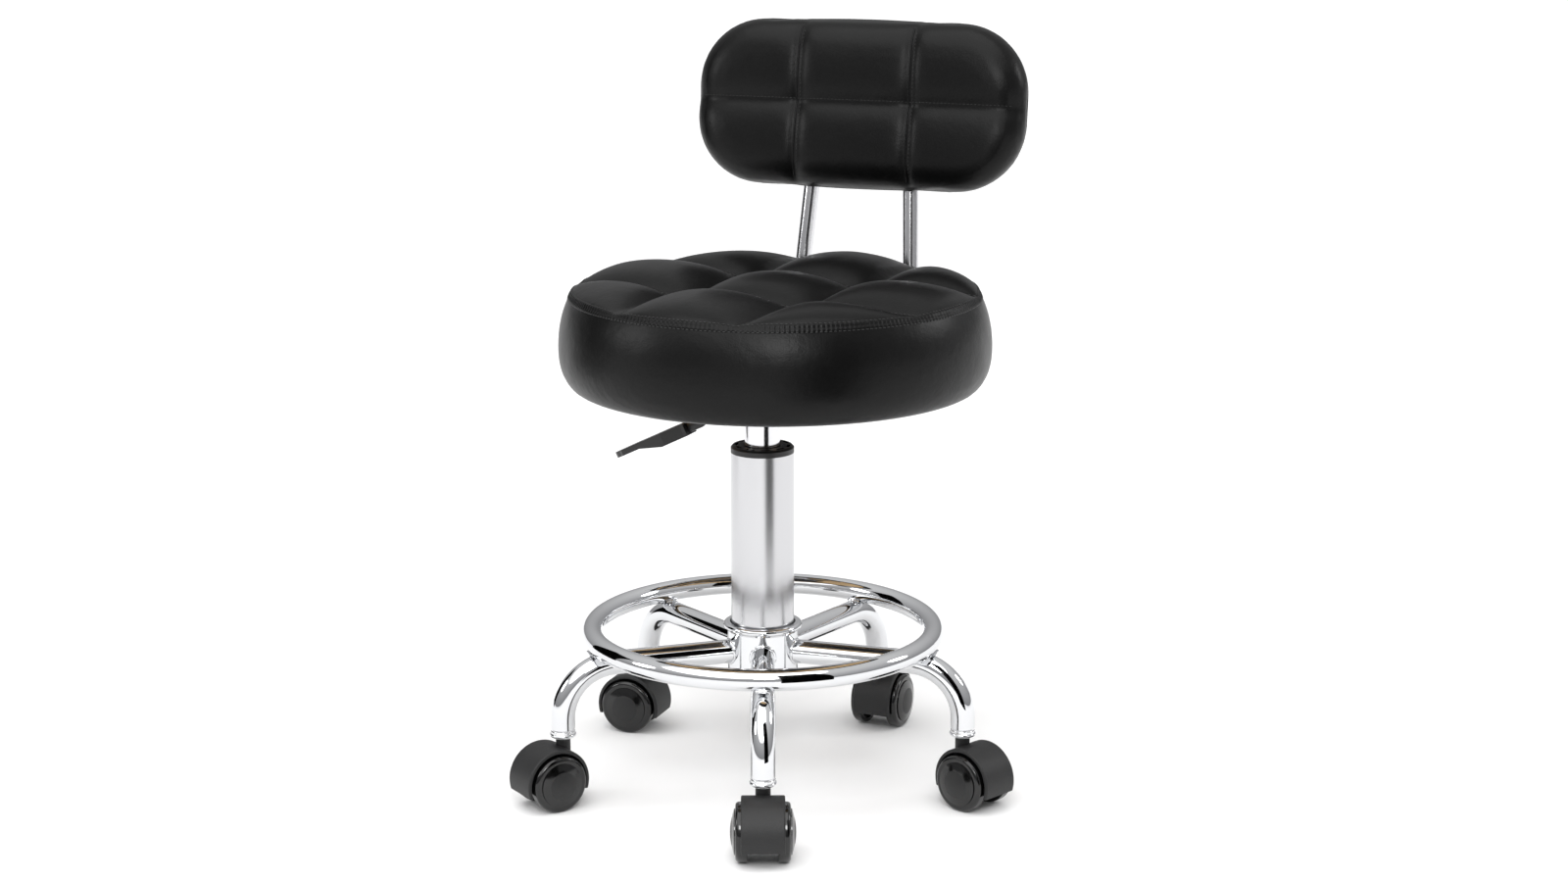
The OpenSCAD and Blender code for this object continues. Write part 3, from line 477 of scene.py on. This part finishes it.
# The wheels come from a polished mould, a little duller in patches some 6 mm wide
gloss, gloss_tree, gloss_shader = new_material(
    "gloss_nylon", Base_Color=linear("#060606"), Roughness=0.12, IOR=1.53
)
gloss_place = add_node(gloss_tree, "ShaderNodeTexCoord").outputs["Object"]
tread_wear = add_node(
    gloss_tree, "ShaderNodeTexNoise", {"Vector": gloss_place, "Scale": 160.0, "Detail": 4.0}
)
tread_rough = add_node(
    gloss_tree, "ShaderNodeMapRange", {"Value": tread_wear.outputs["Fac"], "To Min": 0.08, "To Max": 0.2}
)
gloss_tree.links.new(tread_rough.outputs["Result"], gloss_shader.inputs["Roughness"])
dress(gloss, [f"wheel_{side}_{i}" for side in ("left", "right") for i in LEGS])

# The caps have a finer mould grain than the hoods
cap_matte, cap_tree, cap_shader = new_material(
    "matte_nylon", Base_Color=linear("#080809"), Roughness=0.48, IOR=1.53
)
cap_place = add_node(cap_tree, "ShaderNodeTexCoord").outputs["Object"]
cap_skin = add_node(cap_tree, "ShaderNodeTexVoronoi", {"Vector": cap_place, "Scale": 1500.0})
cap_bump = add_node(
    cap_tree, "ShaderNodeBump",
    {"Strength": 0.2, "Distance": 0.0002, "Height": cap_skin.outputs["Distance"]},
)
cap_tree.links.new(cap_bump.outputs["Normal"], cap_shader.inputs["Normal"])

caster_joints = {joint["name"]: joint for joint in frame["record"]["behaviour"]["joints"]}
cap_r = 0.0169
cap_start = 0.0115 + 0.0093 + 0.0006  # from the middle of the axle to the cap's rim
cap_rise = 0.0033
cap_skirt = 0.0006
cap_rings = 10
cap_steps = 72
for i in LEGS:
    for side, way in (("left", -1), ("right", 1)):
        joint = caster_joints[f"wheel_roll_{side}_{i}"]
        hub = Vector(joint["pos_m"])
        axle = Vector(joint["axis"]) * way
        across = Vector((0, 0, 1))
        along = axle.cross(across)
        points, faces = [hub + axle * (cap_start + cap_rise)], []
        for ring in range(1, cap_rings + 1):
            share = ring / cap_rings
            # a low dome that rolls over into a short wall at its rim
            r = cap_r * math.sin(share * math.pi / 2) ** 0.9
            lift = cap_rise * (1 - (r / cap_r) ** 2) if ring < cap_rings else -cap_skirt
            for step in range(cap_steps):
                a = 2 * math.pi * step / cap_steps
                round_axle = across * math.cos(a) + along * math.sin(a)
                points.append(hub + axle * (cap_start + lift) + round_axle * r)
        for step in range(cap_steps):
            after = (step + 1) % cap_steps
            faces.append((0, 1 + step, 1 + after))
            for ring in range(cap_rings - 1):
                low, high = 1 + ring * cap_steps, 1 + (ring + 1) * cap_steps
                faces.append((low + step, high + step, high + after, low + after))
        cap = new_object(f"wheel_cap_{side}_{i}", points, faces)
        shell = bmesh.new()
        shell.from_mesh(cap.data)
        bmesh.ops.recalc_face_normals(shell, faces=shell.faces)
        if shell.faces[0].normal.dot(axle) < 0:
            bmesh.ops.reverse_faces(shell, faces=shell.faces)
        shell.to_mesh(cap.data)
        shell.free()
        cap.data.materials.append(cap_matte)
        smooth(cap)
        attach(cap, f"wheel_{side}_{i}")


# ---- Seat cushion ----
# Moulded foam on a plywood disc, under a cover of black coated leather. The top panel is
# drawn down along two pairs of crossing channels, so it rises in nine pillows.

# Coated split leather: deep black and satin, with a fine pebble grain about 1.1 mm wide
# and softer creases some 30 mm long, where the foam has worked.
leather, leather_tree, leather_shader = new_material(
    "black_coated_leather", Base_Color=linear("#030303"), Roughness=0.37
)
leather_shader.inputs["Specular IOR Level"].default_value = 0.2
leather_place = add_node(leather_tree, "ShaderNodeTexCoord").outputs["Object"]
pebble = add_node(leather_tree, "ShaderNodeTexVoronoi", {"Vector": leather_place, "Scale": 900.0})
crease = add_node(
    leather_tree, "ShaderNodeTexNoise",
    {"Vector": leather_place, "Scale": 34.0, "Detail": 5.0, "Roughness": 0.6},
)
pebble_bump = add_node(
    leather_tree, "ShaderNodeBump",
    {"Strength": 0.16, "Distance": 0.0003, "Height": pebble.outputs["Distance"]},
)
crease_bump = add_node(
    leather_tree, "ShaderNodeBump",
    {"Strength": 0.22, "Distance": 0.003, "Height": crease.outputs["Fac"],
     "Normal": pebble_bump.outputs["Normal"]},
)
leather_rough = add_node(
    leather_tree, "ShaderNodeMapRange", {"Value": crease.outputs["Fac"], "To Min": 0.32, "To Max": 0.42}
)
leather_tree.links.new(crease_bump.outputs["Normal"], leather_shader.inputs["Normal"])
leather_tree.links.new(leather_rough.outputs["Result"], leather_shader.inputs["Roughness"])

seat_low, seat_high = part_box("seat_cover")
seat_axis = Vector(((seat_low.x + seat_high.x) / 2, (seat_low.y + seat_high.y) / 2, seat_low.z))
seat_r = (seat_high.x - seat_low.x) / 2
seat_h = seat_high.z - seat_low.z
seam_r = seat_r - 0.010
seam_h = seat_h - 0.018
tuft_turn = math.radians(-8.5)  # the channels' turn from the seat's own axes
tuft_at = 0.052  # from the seat's middle to each channel
tuft_depth = 0.0215
tuft_soft = 0.016
crown = -0.004
board_low, board_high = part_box("seat_board")
board_r = (board_high.x - board_low.x) / 2


def seat_top(u, v):
    """Height of the top panel above the cushion's underside, in the frame of the tufts."""
    reach = min(1.0, math.hypot(u, v) / seam_r)
    pillow = 1.0
    for place in (u, v):
        gap = abs(abs(place) - tuft_at)
        pillow *= 1 - math.exp(-gap / tuft_soft)
    rim = (1 - reach**5) ** 0.6
    return seam_h + crown * (1 - reach**2) + tuft_depth * pillow * rim


def revolve(name, profile, steps):
    """A closed body of revolution from (radius, height) points that start and end on the axis."""
    points, faces = [Vector((0, 0, profile[0][1])), Vector((0, 0, profile[-1][1]))], []
    for r, z in profile[1:-1]:
        turns = [2 * math.pi * k / steps for k in range(steps)]
        points += [Vector((r * math.cos(turn), r * math.sin(turn), z)) for turn in turns]
    last = len(points) - steps
    for k in range(steps):
        after = (k + 1) % steps
        faces.append((0, 2 + after, 2 + k))
        faces.append((1, last + k, last + after))
        for ring in range(len(profile) - 3):
            low = 2 + ring * steps
            faces.append((low + k, low + after, low + steps + after, low + steps + k))
    return new_object(name, points, faces)


def remesh(piece, voxel):
    """Even quads all over the piece, voxel metres wide."""
    modifier = piece.modifiers.new("even_quads", "REMESH")
    modifier.mode = "VOXEL"
    modifier.voxel_size = voxel
    depsgraph = bpy.context.evaluated_depsgraph_get()
    mesh = bpy.data.meshes.new_from_object(piece.evaluated_get(depsgraph))
    piece.modifiers.remove(modifier)
    piece.data = mesh


def swell(piece, held, most):
    """Blows a cover up a little with air. Its held points stay, and no point moves more than most metres."""
    last_frame = 20
    rest = [vertex.co.copy() for vertex in piece.data.vertices]
    group = piece.vertex_groups.new(name="held")
    group.add(held, 1.0, "REPLACE")
    cloth = piece.modifiers.new("air", "CLOTH")
    cloth.settings.quality = 6
    cloth.settings.mass = 0.25
    cloth.settings.tension_stiffness = 25
    cloth.settings.compression_stiffness = 25
    cloth.settings.shear_stiffness = 12
    cloth.settings.bending_stiffness = 1.2
    cloth.settings.use_pressure = True
    cloth.settings.uniform_pressure_force = 4
    cloth.settings.vertex_group_mass = "held"
    cloth.settings.effector_weights.gravity = 0
    cloth.point_cache.frame_start = 1
    cloth.point_cache.frame_end = last_frame
    for step in range(1, last_frame + 1):
        bpy.context.scene.frame_set(step)
    depsgraph = bpy.context.evaluated_depsgraph_get()
    mesh = bpy.data.meshes.new_from_object(piece.evaluated_get(depsgraph))
    piece.modifiers.remove(cloth)
    piece.vertex_groups.clear()
    for vertex, before in zip(mesh.vertices, rest):
        move = vertex.co - before
        if move.length > most:
            vertex.co = before + move * (most / move.length)
    piece.data = mesh
    bpy.context.scene.frame_set(1)


def subdivide(piece, levels):
    """Rounds a piece's mesh off."""
    modifier = piece.modifiers.new("round", "SUBSURF")
    modifier.levels = levels
    modifier.render_levels = levels
    depsgraph = bpy.context.evaluated_depsgraph_get()
    mesh = bpy.data.meshes.new_from_object(piece.evaluated_get(depsgraph))
    piece.modifiers.remove(modifier)
    piece.data = mesh


hem_r = board_r - 0.010
foot_r = seat_r - 0.019
bulge_h = seat_h * 0.33
inside_h = board_low.z - seat_low.z + 0.006  # the cover's inner edge ends within the board
side = [(0.0, inside_h), (hem_r * 0.5, inside_h), (hem_r, inside_h), (hem_r, 0.0008)]
for step in range(7):
    a = math.radians(-90 + 15 * step)
    side.append((foot_r + (seat_r - foot_r) * math.cos(a), bulge_h + bulge_h * math.sin(a)))
for step in range(1, 9):
    share = step / 8
    side.append((seat_r - (seat_r - seam_r) * share**2.4, bulge_h + (seam_h - bulge_h) * share))
top_rings = 20
top = [(seam_r * (1 - step / top_rings), seam_h) for step in range(1, top_rings + 1)]
seat = revolve("seat_cushion", side + top, 160)
remesh(seat, 0.004)
held = []
for vertex in seat.data.vertices:
    u, v, z = vertex.co
    r = math.hypot(u, v)
    if z > seam_h - 0.003 and r < seam_r + 0.001:
        vertex.co.z = seat_top(u, v) - (seam_h - z) * 0.5
        channel = min(abs(abs(u) - tuft_at), abs(abs(v) - tuft_at))
        if channel < 0.0025 or r > seam_r - 0.005:
            held.append(vertex.index)
    elif r < foot_r + 0.002 and z < 0.02 or abs(z - seam_h) < 0.004:
        held.append(vertex.index)
swell(seat, held, 0.007)
subdivide(seat, 1)
to_seat = Matrix.Translation(seat_axis) @ Matrix.Rotation(tuft_turn, 4, "Z")
seat.data.transform(to_seat)
seat.data.materials.clear()
seat.data.materials.append(leather)
smooth(seat)
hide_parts("seat_cover", "seat_foam")
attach(seat, "seat")

# Seam between the top panel and the side band: the allowances are pressed open and
# topstitched on both sides, which leaves a puckered strip 6 mm wide.
stitch_pitch = 0.0036
thread_r = 0.00042


def surface_of(piece):
    """A piece's surface, to find places on it."""
    return BVHTree.FromPolygons(
        [vertex.co for vertex in piece.data.vertices], [polygon.vertices for polygon in piece.data.polygons]
    )


seat_surface = surface_of(seat)
seam_core_r = seam_r - 0.022
seam_core_z = seat_low.z + seam_h - 0.022


def on_seam(turn, lean, lift):
    """A point on the cushion's shoulder: turn goes round the seat, lean goes up from its side."""
    out = Vector((math.cos(turn), math.sin(turn), 0))
    start = Vector((seat_axis.x, seat_axis.y, seam_core_z)) + out * seam_core_r
    ray = out * math.cos(lean) + Vector((0, 0, 1)) * math.sin(lean)
    place = seat_surface.ray_cast(start, ray)[0]
    return place + ray * lift


seam_count = round(2 * math.pi * seam_r / stitch_pitch)
strip_low, strip_high = math.radians(37), math.radians(52)
strip_across = 8
pucker_steps = 4
strip_steps = seam_count * pucker_steps
seam_points, seam_faces = [], []
for step in range(strip_steps):
    turn = 2 * math.pi * step / strip_steps
    pucker = 0.5 + 0.5 * math.cos(2 * math.pi * step / pucker_steps)
    for k in range(strip_across + 1):
        share = k / strip_across
        rise = math.sin(math.pi * share) ** 0.5
        fold = math.exp(-(((share - 0.5) / 0.1) ** 2))
        lift = -0.0003 + rise * (0.0009 + 0.0005 * pucker) - 0.0006 * fold
        seam_points.append(on_seam(turn, strip_low + (strip_high - strip_low) * share, lift))
for step in range(strip_steps):
    here, there = step * (strip_across + 1), (step + 1) % strip_steps * (strip_across + 1)
    for k in range(strip_across):
        seam_faces.append((here + k, there + k, there + k + 1, here + k + 1))
seam = new_object("seat_seam", seam_points, seam_faces)
seam.data.materials.append(leather)
smooth(seam)
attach(seam, "seat")

# Bonded polyester thread: black, with a low sheen, twisted every 0.8 mm
thread, thread_tree, thread_shader = new_material(
    "polyester_thread", Base_Color=linear("#141414"), Roughness=0.45, IOR=1.55
)
thread_place = add_node(thread_tree, "ShaderNodeTexCoord").outputs["Object"]
twist = add_node(
    thread_tree, "ShaderNodeTexNoise", {"Vector": thread_place, "Scale": 1300.0, "Detail": 1.0}
)
twist_bump = add_node(
    thread_tree, "ShaderNodeBump", {"Strength": 0.3, "Distance": 0.0002, "Height": twist.outputs["Fac"]}
)
thread_tree.links.new(twist_bump.outputs["Normal"], thread_shader.inputs["Normal"])

# Stitches: a row of short threads along each line of points
stitch_tree, stitch_in, stitch_out = new_tree(
    "stitch_row",
    [("Pitch", "NodeSocketFloat"), ("Length", "NodeSocketFloat"), ("Thread", "NodeSocketFloat"),
     ("Material", "NodeSocketMaterial")],
)
stitch_curve = add_node(stitch_tree, "GeometryNodeMeshToCurve", {"Mesh": stitch_in["Geometry"]})
stitch_points = add_node(
    stitch_tree, "GeometryNodeCurveToPoints",
    {"Curve": stitch_curve.outputs["Curve"], "Length": stitch_in["Pitch"]}, mode="LENGTH",
)
stitch_shape = add_node(stitch_tree, "GeometryNodeMeshUVSphere", {"Segments": 6, "Rings": 5, "Radius": 1.0})
stitch_size = add_node(
    stitch_tree, "ShaderNodeCombineXYZ",
    {"X": stitch_in["Thread"], "Y": stitch_in["Thread"], "Z": stitch_in["Length"]},
)
stitch_rows = add_node(
    stitch_tree, "GeometryNodeInstanceOnPoints",
    {"Points": stitch_points.outputs["Points"], "Instance": stitch_shape.outputs["Mesh"],
     "Rotation": stitch_points.outputs["Rotation"], "Scale": stitch_size.outputs["Vector"]},
)
stitch_real = add_node(
    stitch_tree, "GeometryNodeRealizeInstances", {"Geometry": stitch_rows.outputs["Instances"]}
)
stitch_done = add_node(
    stitch_tree, "GeometryNodeSetMaterial",
    {"Geometry": stitch_real.outputs["Geometry"], "Material": stitch_in["Material"]},
)
stitch_tree.links.new(stitch_done.outputs["Geometry"], stitch_out.inputs["Geometry"])

stitch_in_from_edge = math.radians(1.6)
row_steps = 720
seam_rows = [
    [on_seam(2 * math.pi * k / row_steps, lean, 0.0004) for k in range(row_steps)]
    for lean in (strip_low + stitch_in_from_edge, strip_high - stitch_in_from_edge)
]
seam_stitches = new_path("seat_seam_stitches", seam_rows, closed=True)
seam_thread = {"Pitch": stitch_pitch, "Length": 0.0013, "Thread": thread_r, "Material": thread}
run_nodes(seam_stitches, stitch_tree, **seam_thread)

# Each channel has one row of stitches, just beside its lowest line
beside = 0.0028
reach = math.sqrt(seam_r**2 - tuft_at**2) - 0.006
channel_rows = []
for place in (-tuft_at, tuft_at):
    for swap in (False, True):
        line = []
        for k in range(121):
            along = reach * (k / 60 - 1)
            flat = Vector((along, place + beside, 0)) if swap else Vector((place + beside, along, 0))
            above = to_seat @ flat + Vector((0, 0, 0.2))
            spot = seat_surface.ray_cast(above, Vector((0, 0, -1)))[0]
            line.append(spot + Vector((0, 0, 0.0001)))
        channel_rows.append(line)
channel_stitches = new_path("tuft_stitches", channel_rows, closed=False)
run_nodes(channel_stitches, stitch_tree, **seam_thread)
for stitches in (seam_stitches, channel_stitches):
    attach(stitches, "seat")


# ---- Seat board and staples ----
# Poplar plywood, pale and dry, with growth lines about 3 mm apart on its faces. The
# cover's hem is stapled to its underside every 18 mm.
ply, ply_tree, ply_shader = new_material(
    "poplar_plywood", Base_Color=linear("#c9a878"), Roughness=0.62
)
ply_place = add_node(ply_tree, "ShaderNodeTexCoord").outputs["Object"]
ply_map = add_node(ply_tree, "ShaderNodeMapping", {"Vector": ply_place, "Scale": (1.0, 0.08, 1.0)})
ply_grain = add_node(
    ply_tree, "ShaderNodeTexNoise", {"Vector": ply_map.outputs["Vector"], "Scale": 330.0, "Detail": 6.0}
)
ply_colour = add_node(
    ply_tree, "ShaderNodeMix",
    {"Factor": ply_grain.outputs["Fac"], "A": linear("#a98352"), "B": linear("#dcc095")}, data_type="RGBA",
)
ply_bump = add_node(
    ply_tree, "ShaderNodeBump", {"Strength": 0.2, "Distance": 0.0003, "Height": ply_grain.outputs["Fac"]}
)
ply_tree.links.new(ply_colour.outputs["Result"], ply_shader.inputs["Base Color"])
ply_tree.links.new(ply_bump.outputs["Normal"], ply_shader.inputs["Normal"])
dress(ply, ["seat_board", "backrest_board"])

staple_tree, staple_in, staple_out = new_tree(
    "hem_staples",
    [("Pitch", "NodeSocketFloat"), ("Crown", "NodeSocketFloat"), ("Wire", "NodeSocketFloat"),
     ("Material", "NodeSocketMaterial")],
)
staple_curve = add_node(staple_tree, "GeometryNodeMeshToCurve", {"Mesh": staple_in["Geometry"]})
staple_points = add_node(
    staple_tree, "GeometryNodeCurveToPoints",
    {"Curve": staple_curve.outputs["Curve"], "Length": staple_in["Pitch"]}, mode="LENGTH",
)
staple_size = add_node(
    staple_tree, "ShaderNodeCombineXYZ",
    {"X": staple_in["Wire"], "Y": staple_in["Wire"], "Z": staple_in["Crown"]},
)
staple_shape = add_node(staple_tree, "GeometryNodeMeshCube", {"Size": staple_size.outputs["Vector"]})
staple_rows = add_node(
    staple_tree, "GeometryNodeInstanceOnPoints",
    {"Points": staple_points.outputs["Points"], "Instance": staple_shape.outputs["Mesh"],
     "Rotation": staple_points.outputs["Rotation"]},
)
staple_real = add_node(
    staple_tree, "GeometryNodeRealizeInstances", {"Geometry": staple_rows.outputs["Instances"]}
)
staple_done = add_node(
    staple_tree, "GeometryNodeSetMaterial",
    {"Geometry": staple_real.outputs["Geometry"], "Material": staple_in["Material"]},
)
staple_tree.links.new(staple_done.outputs["Geometry"], staple_out.inputs["Geometry"])
staple_r = hem_r + 0.006
staple_sink = 0.0007
staple_turns = [math.radians(2 * k) for k in range(180)]
staple_ring = [
    seat_axis + Vector((staple_r * math.cos(turn), staple_r * math.sin(turn), staple_sink))
    for turn in staple_turns
]
staples = new_path("seat_staples", [staple_ring], closed=True)
run_nodes(staples, staple_tree, Pitch=0.018, Crown=0.0095, Wire=0.0009, Material=zinc)
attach(staples, "seat")


# ---- Backrest pad ----
# A plywood board and foam inside a sewn sleeve of the same leather. Two upright seams and
# one level channel draw the front down into six panels; the back is one plain panel.
back_low, back_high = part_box("backrest_cover")
back_middle = (back_low + back_high) / 2
recline = math.radians(9)
back_half_w = (back_high.x - back_low.x) / 2
back_half_h = 0.070
back_half_t = 0.025
back_corner = 0.058
panel_at = 0.0495


def pad_outline(inset, steps):
    """Points round the pad's outline, drawn in by inset, with long soft corners."""
    half_w, half_h = back_half_w - inset, back_half_h - inset
    corner = max(back_corner - inset, 0.004)
    points = []
    for cx, cz, start in ((1, 1, 0), (-1, 1, 90), (-1, -1, 180), (1, -1, 270)):
        for k in range(steps + 1):
            a = math.radians(start + 90 * k / steps)
            x = cx * (half_w - corner) + corner * math.cos(a)
            z = cz * (half_h - corner) + corner * math.sin(a)
            points.append((x, z))
    return points


pad_points, pad_faces = [], []
edge_rings = 12
edge_in = 0.030
for ring in range(edge_rings + 1):
    a = math.pi * (ring / edge_rings - 0.5)
    inset = edge_in * (1 - math.cos(a) ** 0.75)
    depth = back_half_t * math.sin(a) * 0.84
    pad_points += [(x, depth, z) for x, z in pad_outline(inset, 16)]
loop = len(pad_points) // (edge_rings + 1)
for ring in range(edge_rings):
    low, high = ring * loop, (ring + 1) * loop
    for k in range(loop):
        after = (k + 1) % loop
        pad_faces.append((low + k, low + after, high + after, high + k))
pad_faces.append(tuple(reversed(range(loop))))
pad_faces.append(tuple(edge_rings * loop + k for k in range(loop)))
pad = new_object("backrest_pad", pad_points, pad_faces)
remesh(pad, 0.0035)


def panel_dip(x, z, front):
    """How far the seams draw the front of the pad in, in metres."""
    upright = min(abs(x - panel_at), abs(x + panel_at))
    seam_dip = 0.0045 * math.exp(-upright / 0.0065) + 0.0015 * math.exp(-((upright / 0.002) ** 2))
    channel_dip = 0.0058 * math.exp(-abs(z) / 0.012)
    return (seam_dip + channel_dip) * front


def pad_fullness(x, z):
    """Share of the pad's crown at a place on its face, from 0 at the outline to 1 in the middle."""
    return max(0.0, 1 - (x / back_half_w) ** 4) * max(0.0, 1 - (z / back_half_h) ** 2) ** 0.8


held = []
for vertex in pad.data.vertices:
    x, y, z = vertex.co
    front = min(1.0, max(0.0, (0.006 - y) / 0.022))
    vertex.co.y -= 0.0045 * pad_fullness(x, z) * (1 if y < 0 else -0.8)
    vertex.co.y += panel_dip(x, z, front)
    if front > 0.3 and (min(abs(x - panel_at), abs(x + panel_at)) < 0.0022 or abs(z) < 0.002):
        held.append(vertex.index)
swell(pad, held, 0.005)
subdivide(pad, 1)
to_pad = Matrix.Translation(back_middle) @ Matrix.Rotation(-recline, 4, "X")
pad.data.transform(to_pad)
pad.data.materials.clear()
pad.data.materials.append(leather)
smooth(pad)
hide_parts("backrest_cover", "backrest_foam")
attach(pad, "seat")

pad_surface = surface_of(pad)
facing = to_pad.to_3x3() @ Vector((0, 1, 0))


def on_pad(x, z, lift):
    """A point on the pad's front, in the pad's own width and height."""
    start = to_pad @ Vector((x, -0.2, z))
    return pad_surface.ray_cast(start, facing)[0] - facing * lift


# The upright seams are pinched from inside, which leaves a thin fold standing along each,
# and a welt runs round the pad where the front panel meets the back one.
fold_beside, fold_sink = 0.0012, 0.0005
fold_lines = [
    [on_pad(place - fold_beside, back_half_h * 0.9 * (k / 40 - 1), -fold_sink) for k in range(81)]
    for place in (-panel_at, panel_at)
]
folds = new_path("backrest_seam_folds", fold_lines, closed=False)
run_nodes(folds, bead_tree, Radius=0.0010, Ripple=0.0, Material=leather)
welt_depth = 0.010
welt_rise = 0.0004
welt_line = []
for (x_out, z_out), (x_in, z_in) in zip(pad_outline(-0.02, 24), pad_outline(0.05, 24)):
    start = to_pad @ Vector((x_out, welt_depth, z_out))
    ray = (to_pad @ Vector((x_in, welt_depth, z_in)) - start).normalized()
    welt_line.append(pad_surface.ray_cast(start, ray)[0] + ray * welt_rise)
welt = new_path("backrest_welt", [welt_line], closed=True)
run_nodes(welt, bead_tree, Radius=0.0013, Ripple=0.0, Material=leather)
for strip in (folds, welt):
    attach(strip, "seat")

# A row of finer stitches runs just above the level channel and right of each upright seam
row_above, row_right, thread_rise = 0.0024, 0.0022, 0.0001
pad_rows = [[on_pad(back_half_w * 0.93 * (k / 80 - 1), row_above, thread_rise) for k in range(161)]]
for place in (-panel_at, panel_at):
    pad_rows.append(
        [on_pad(place + row_right, back_half_h * 0.84 * (k / 40 - 1), thread_rise) for k in range(81)]
    )
pad_stitches = new_path("backrest_stitches", pad_rows, closed=False)
run_nodes(pad_stitches, stitch_tree, Pitch=0.0032, Length=0.0011, Thread=0.00025, Material=thread)
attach(pad_stitches, "seat")
